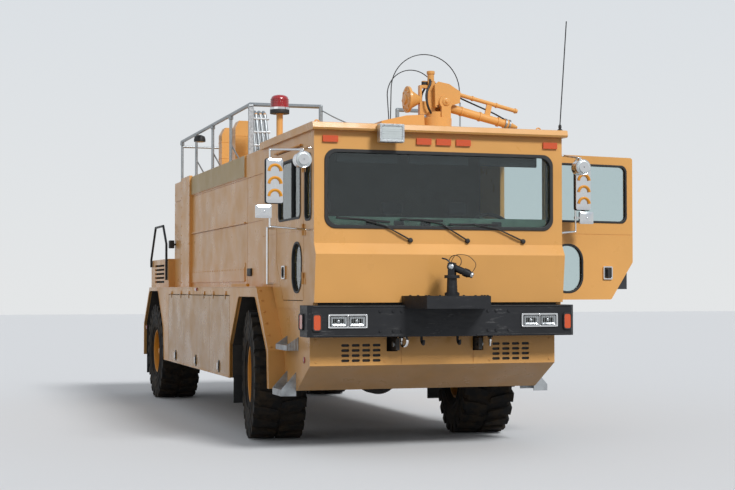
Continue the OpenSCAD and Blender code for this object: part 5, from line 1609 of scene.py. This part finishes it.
class FIRETRUCK_OT_underside(bpy.types.Operator):
    """Air tanks, fuel tank, battery box, silencer, brake chambers, dampers and brake pipes"""
    bl_idname = "firetruck.underside"
    bl_label = "Underside"

    def execute(self, context):
        drum = turned([(60, 0), (112, 14), (128, 50), (128, 850), (112, 886), (60, 900)], 32)
        places = [moved(s * 655, y, 1000) @ REAR_FACE for s, y in AIR_TANKS]
        done(copies(drum, places), "air_tanks", "chassis")
        belts = [(s, y + off) for s, y in AIR_TANKS for off in (200, 700)]
        strap = hoop([(127, -18), (134, -18), (134, 18), (127, 18)], 32)
        hangers = [block(at(s * 474, y - 20, 985), at(s * 530, y + 20, 1015), 0.003)
                   for s, y in belts]
        straps = copies(strap, [moved(s * 655, y, 1000) @ REAR_FACE for s, y in belts])
        done(joined([straps] + hangers), "air_tank_straps", "galvanised")
        done(block(at(500, 5500, 770), at(900, 7100, 1190), 0.06, 4), "fuel_tank", "chassis")
        bands = [block(at(496, y, 764), at(904, y + 40, 1196), 0.062, 4)
                 for y in (5700, 6280, 6860)]
        done(joined(bands), "fuel_tank_straps", "galvanised")
        done(block(at(-900, 5500, 900), at(-500, 6400, 1190), 0.02), "battery_box", "chassis")
        muffler = turned([(60, 0), (138, 20), (138, 640), (60, 660)], 32,
                         moved(-650, 7050, 1030) @ REAR_FACE)
        pipe = tube(rounded([at(-300, 8600, 1250), at(-520, 8600, 1250), at(-650, 8000, 1060),
                             at(-650, 7690, 1030)], 0.2, 8), 0.058, 16)
        tail = tube(rounded([at(-650, 7060, 1030), at(-650, 6900, 1030), at(-900, 6800, 900)],
                            0.1, 8), 0.05, 16)
        done(joined([muffler, pipe, tail]), "exhaust", "spring")
        chamber = turned([(20, -60), (30, -56), (30, 0), (78, 6), (86, 20), (86, 56), (78, 70),
                          (60, 110), (40, 116)], 28)
        places = [moved(s * 760, y, 750) @ face for s, _ in SIDES for y, face in
                  ((FRONT_AXLE_Y - 120, FRONT_FACE), (REAR_AXLE_Y + 120, REAR_FACE))]
        done(copies(chamber, places), "brake_chambers", "chassis")
        dampers, lines = [], []
        for s, y in [(s, y) for s, _ in SIDES for y in (FRONT_AXLE_Y, REAR_AXLE_Y)]:
            a, b = at(s * 560, y - 110, 760), at(s * 520, y - 330, 1180)
            dampers.append(tube([a, a.lerp(b, 0.55)], 0.034, 12))
            dampers.append(tube([a.lerp(b, 0.5), b], 0.024, 12))
        done(joined(dampers), "dampers", "chassis")
        for s, _ in SIDES:
            lines.append(tube([at(s * 482, y, 1120 + 14 * math.sin(y / 300))
                               for y in range(700, 9500, 220)], 0.008, 6))
            lines.append(tube(rounded([at(s * 482, 2050, 1110), at(s * 560, 2050, 1000),
                                       at(s * 700, 2040, 860), at(s * 750, 2030, 770)], 0.1),
                              0.009, 8))
        done(joined(lines), "brake_lines", "rubber")
        return {"FINISHED"}


# All operators in the order in which main() calls them
OPERATORS = (
    FIRETRUCK_OT_stage,
    FIRETRUCK_OT_paint,
    FIRETRUCK_OT_gaskets,
    FIRETRUCK_OT_door_trim,
    FIRETRUCK_OT_seats,
    FIRETRUCK_OT_dashboard,
    FIRETRUCK_OT_bumper_fittings,
    FIRETRUCK_OT_headlamp_glass,
    FIRETRUCK_OT_work_lamp,
    FIRETRUCK_OT_grilles,
    FIRETRUCK_OT_tow_fittings,
    FIRETRUCK_OT_mirrors,
    FIRETRUCK_OT_wipers,
    FIRETRUCK_OT_beacon,
    FIRETRUCK_OT_antennas,
    FIRETRUCK_OT_rail_fittings,
    FIRETRUCK_OT_roof_fittings,
    FIRETRUCK_OT_turret_fittings,
    FIRETRUCK_OT_nozzle_fittings,
    FIRETRUCK_OT_lid_fittings,
    FIRETRUCK_OT_body_trim,
    FIRETRUCK_OT_tank_trim,
    FIRETRUCK_OT_rear_fittings,
    FIRETRUCK_OT_wheel_fittings,
    FIRETRUCK_OT_underside,
)


class FIRETRUCK_PT_panel(bpy.types.Panel):
    """Sizes, colours and pieces of the fire truck"""
    bl_idname = "FIRETRUCK_PT_panel"
    bl_label = "Fire truck"
    bl_space_type = "VIEW_3D"
    bl_region_type = "UI"
    bl_category = "Fire truck"

    def draw(self, context):
        scene = context.scene
        for group in (scene.truck_finish, scene.truck_sizes, scene.truck_stage):
            box = self.layout.box()
            for name in group.__annotations__:
                box.prop(group, name)
        for operator in OPERATORS:
            self.layout.operator(operator.bl_idname)


GROUPS = {"truck_finish": TruckFinish, "truck_sizes": TruckSizes, "truck_stage": TruckStage}


def register():
    for cls in (*GROUPS.values(), *OPERATORS, FIRETRUCK_PT_panel):
        bpy.utils.register_class(cls)
    for name, cls in GROUPS.items():
        setattr(bpy.types.Scene, name, PointerProperty(type=cls))


def unregister():
    for name in GROUPS:
        delattr(bpy.types.Scene, name)
    for cls in (FIRETRUCK_PT_panel, *reversed(OPERATORS), *GROUPS.values()):
        bpy.utils.unregister_class(cls)


def main():
    """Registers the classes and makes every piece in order."""
    register()
    for operator in OPERATORS:
        group, name = operator.bl_idname.split(".")
        getattr(getattr(bpy.ops, group), name)()


if __name__ == "__main__":
    main()
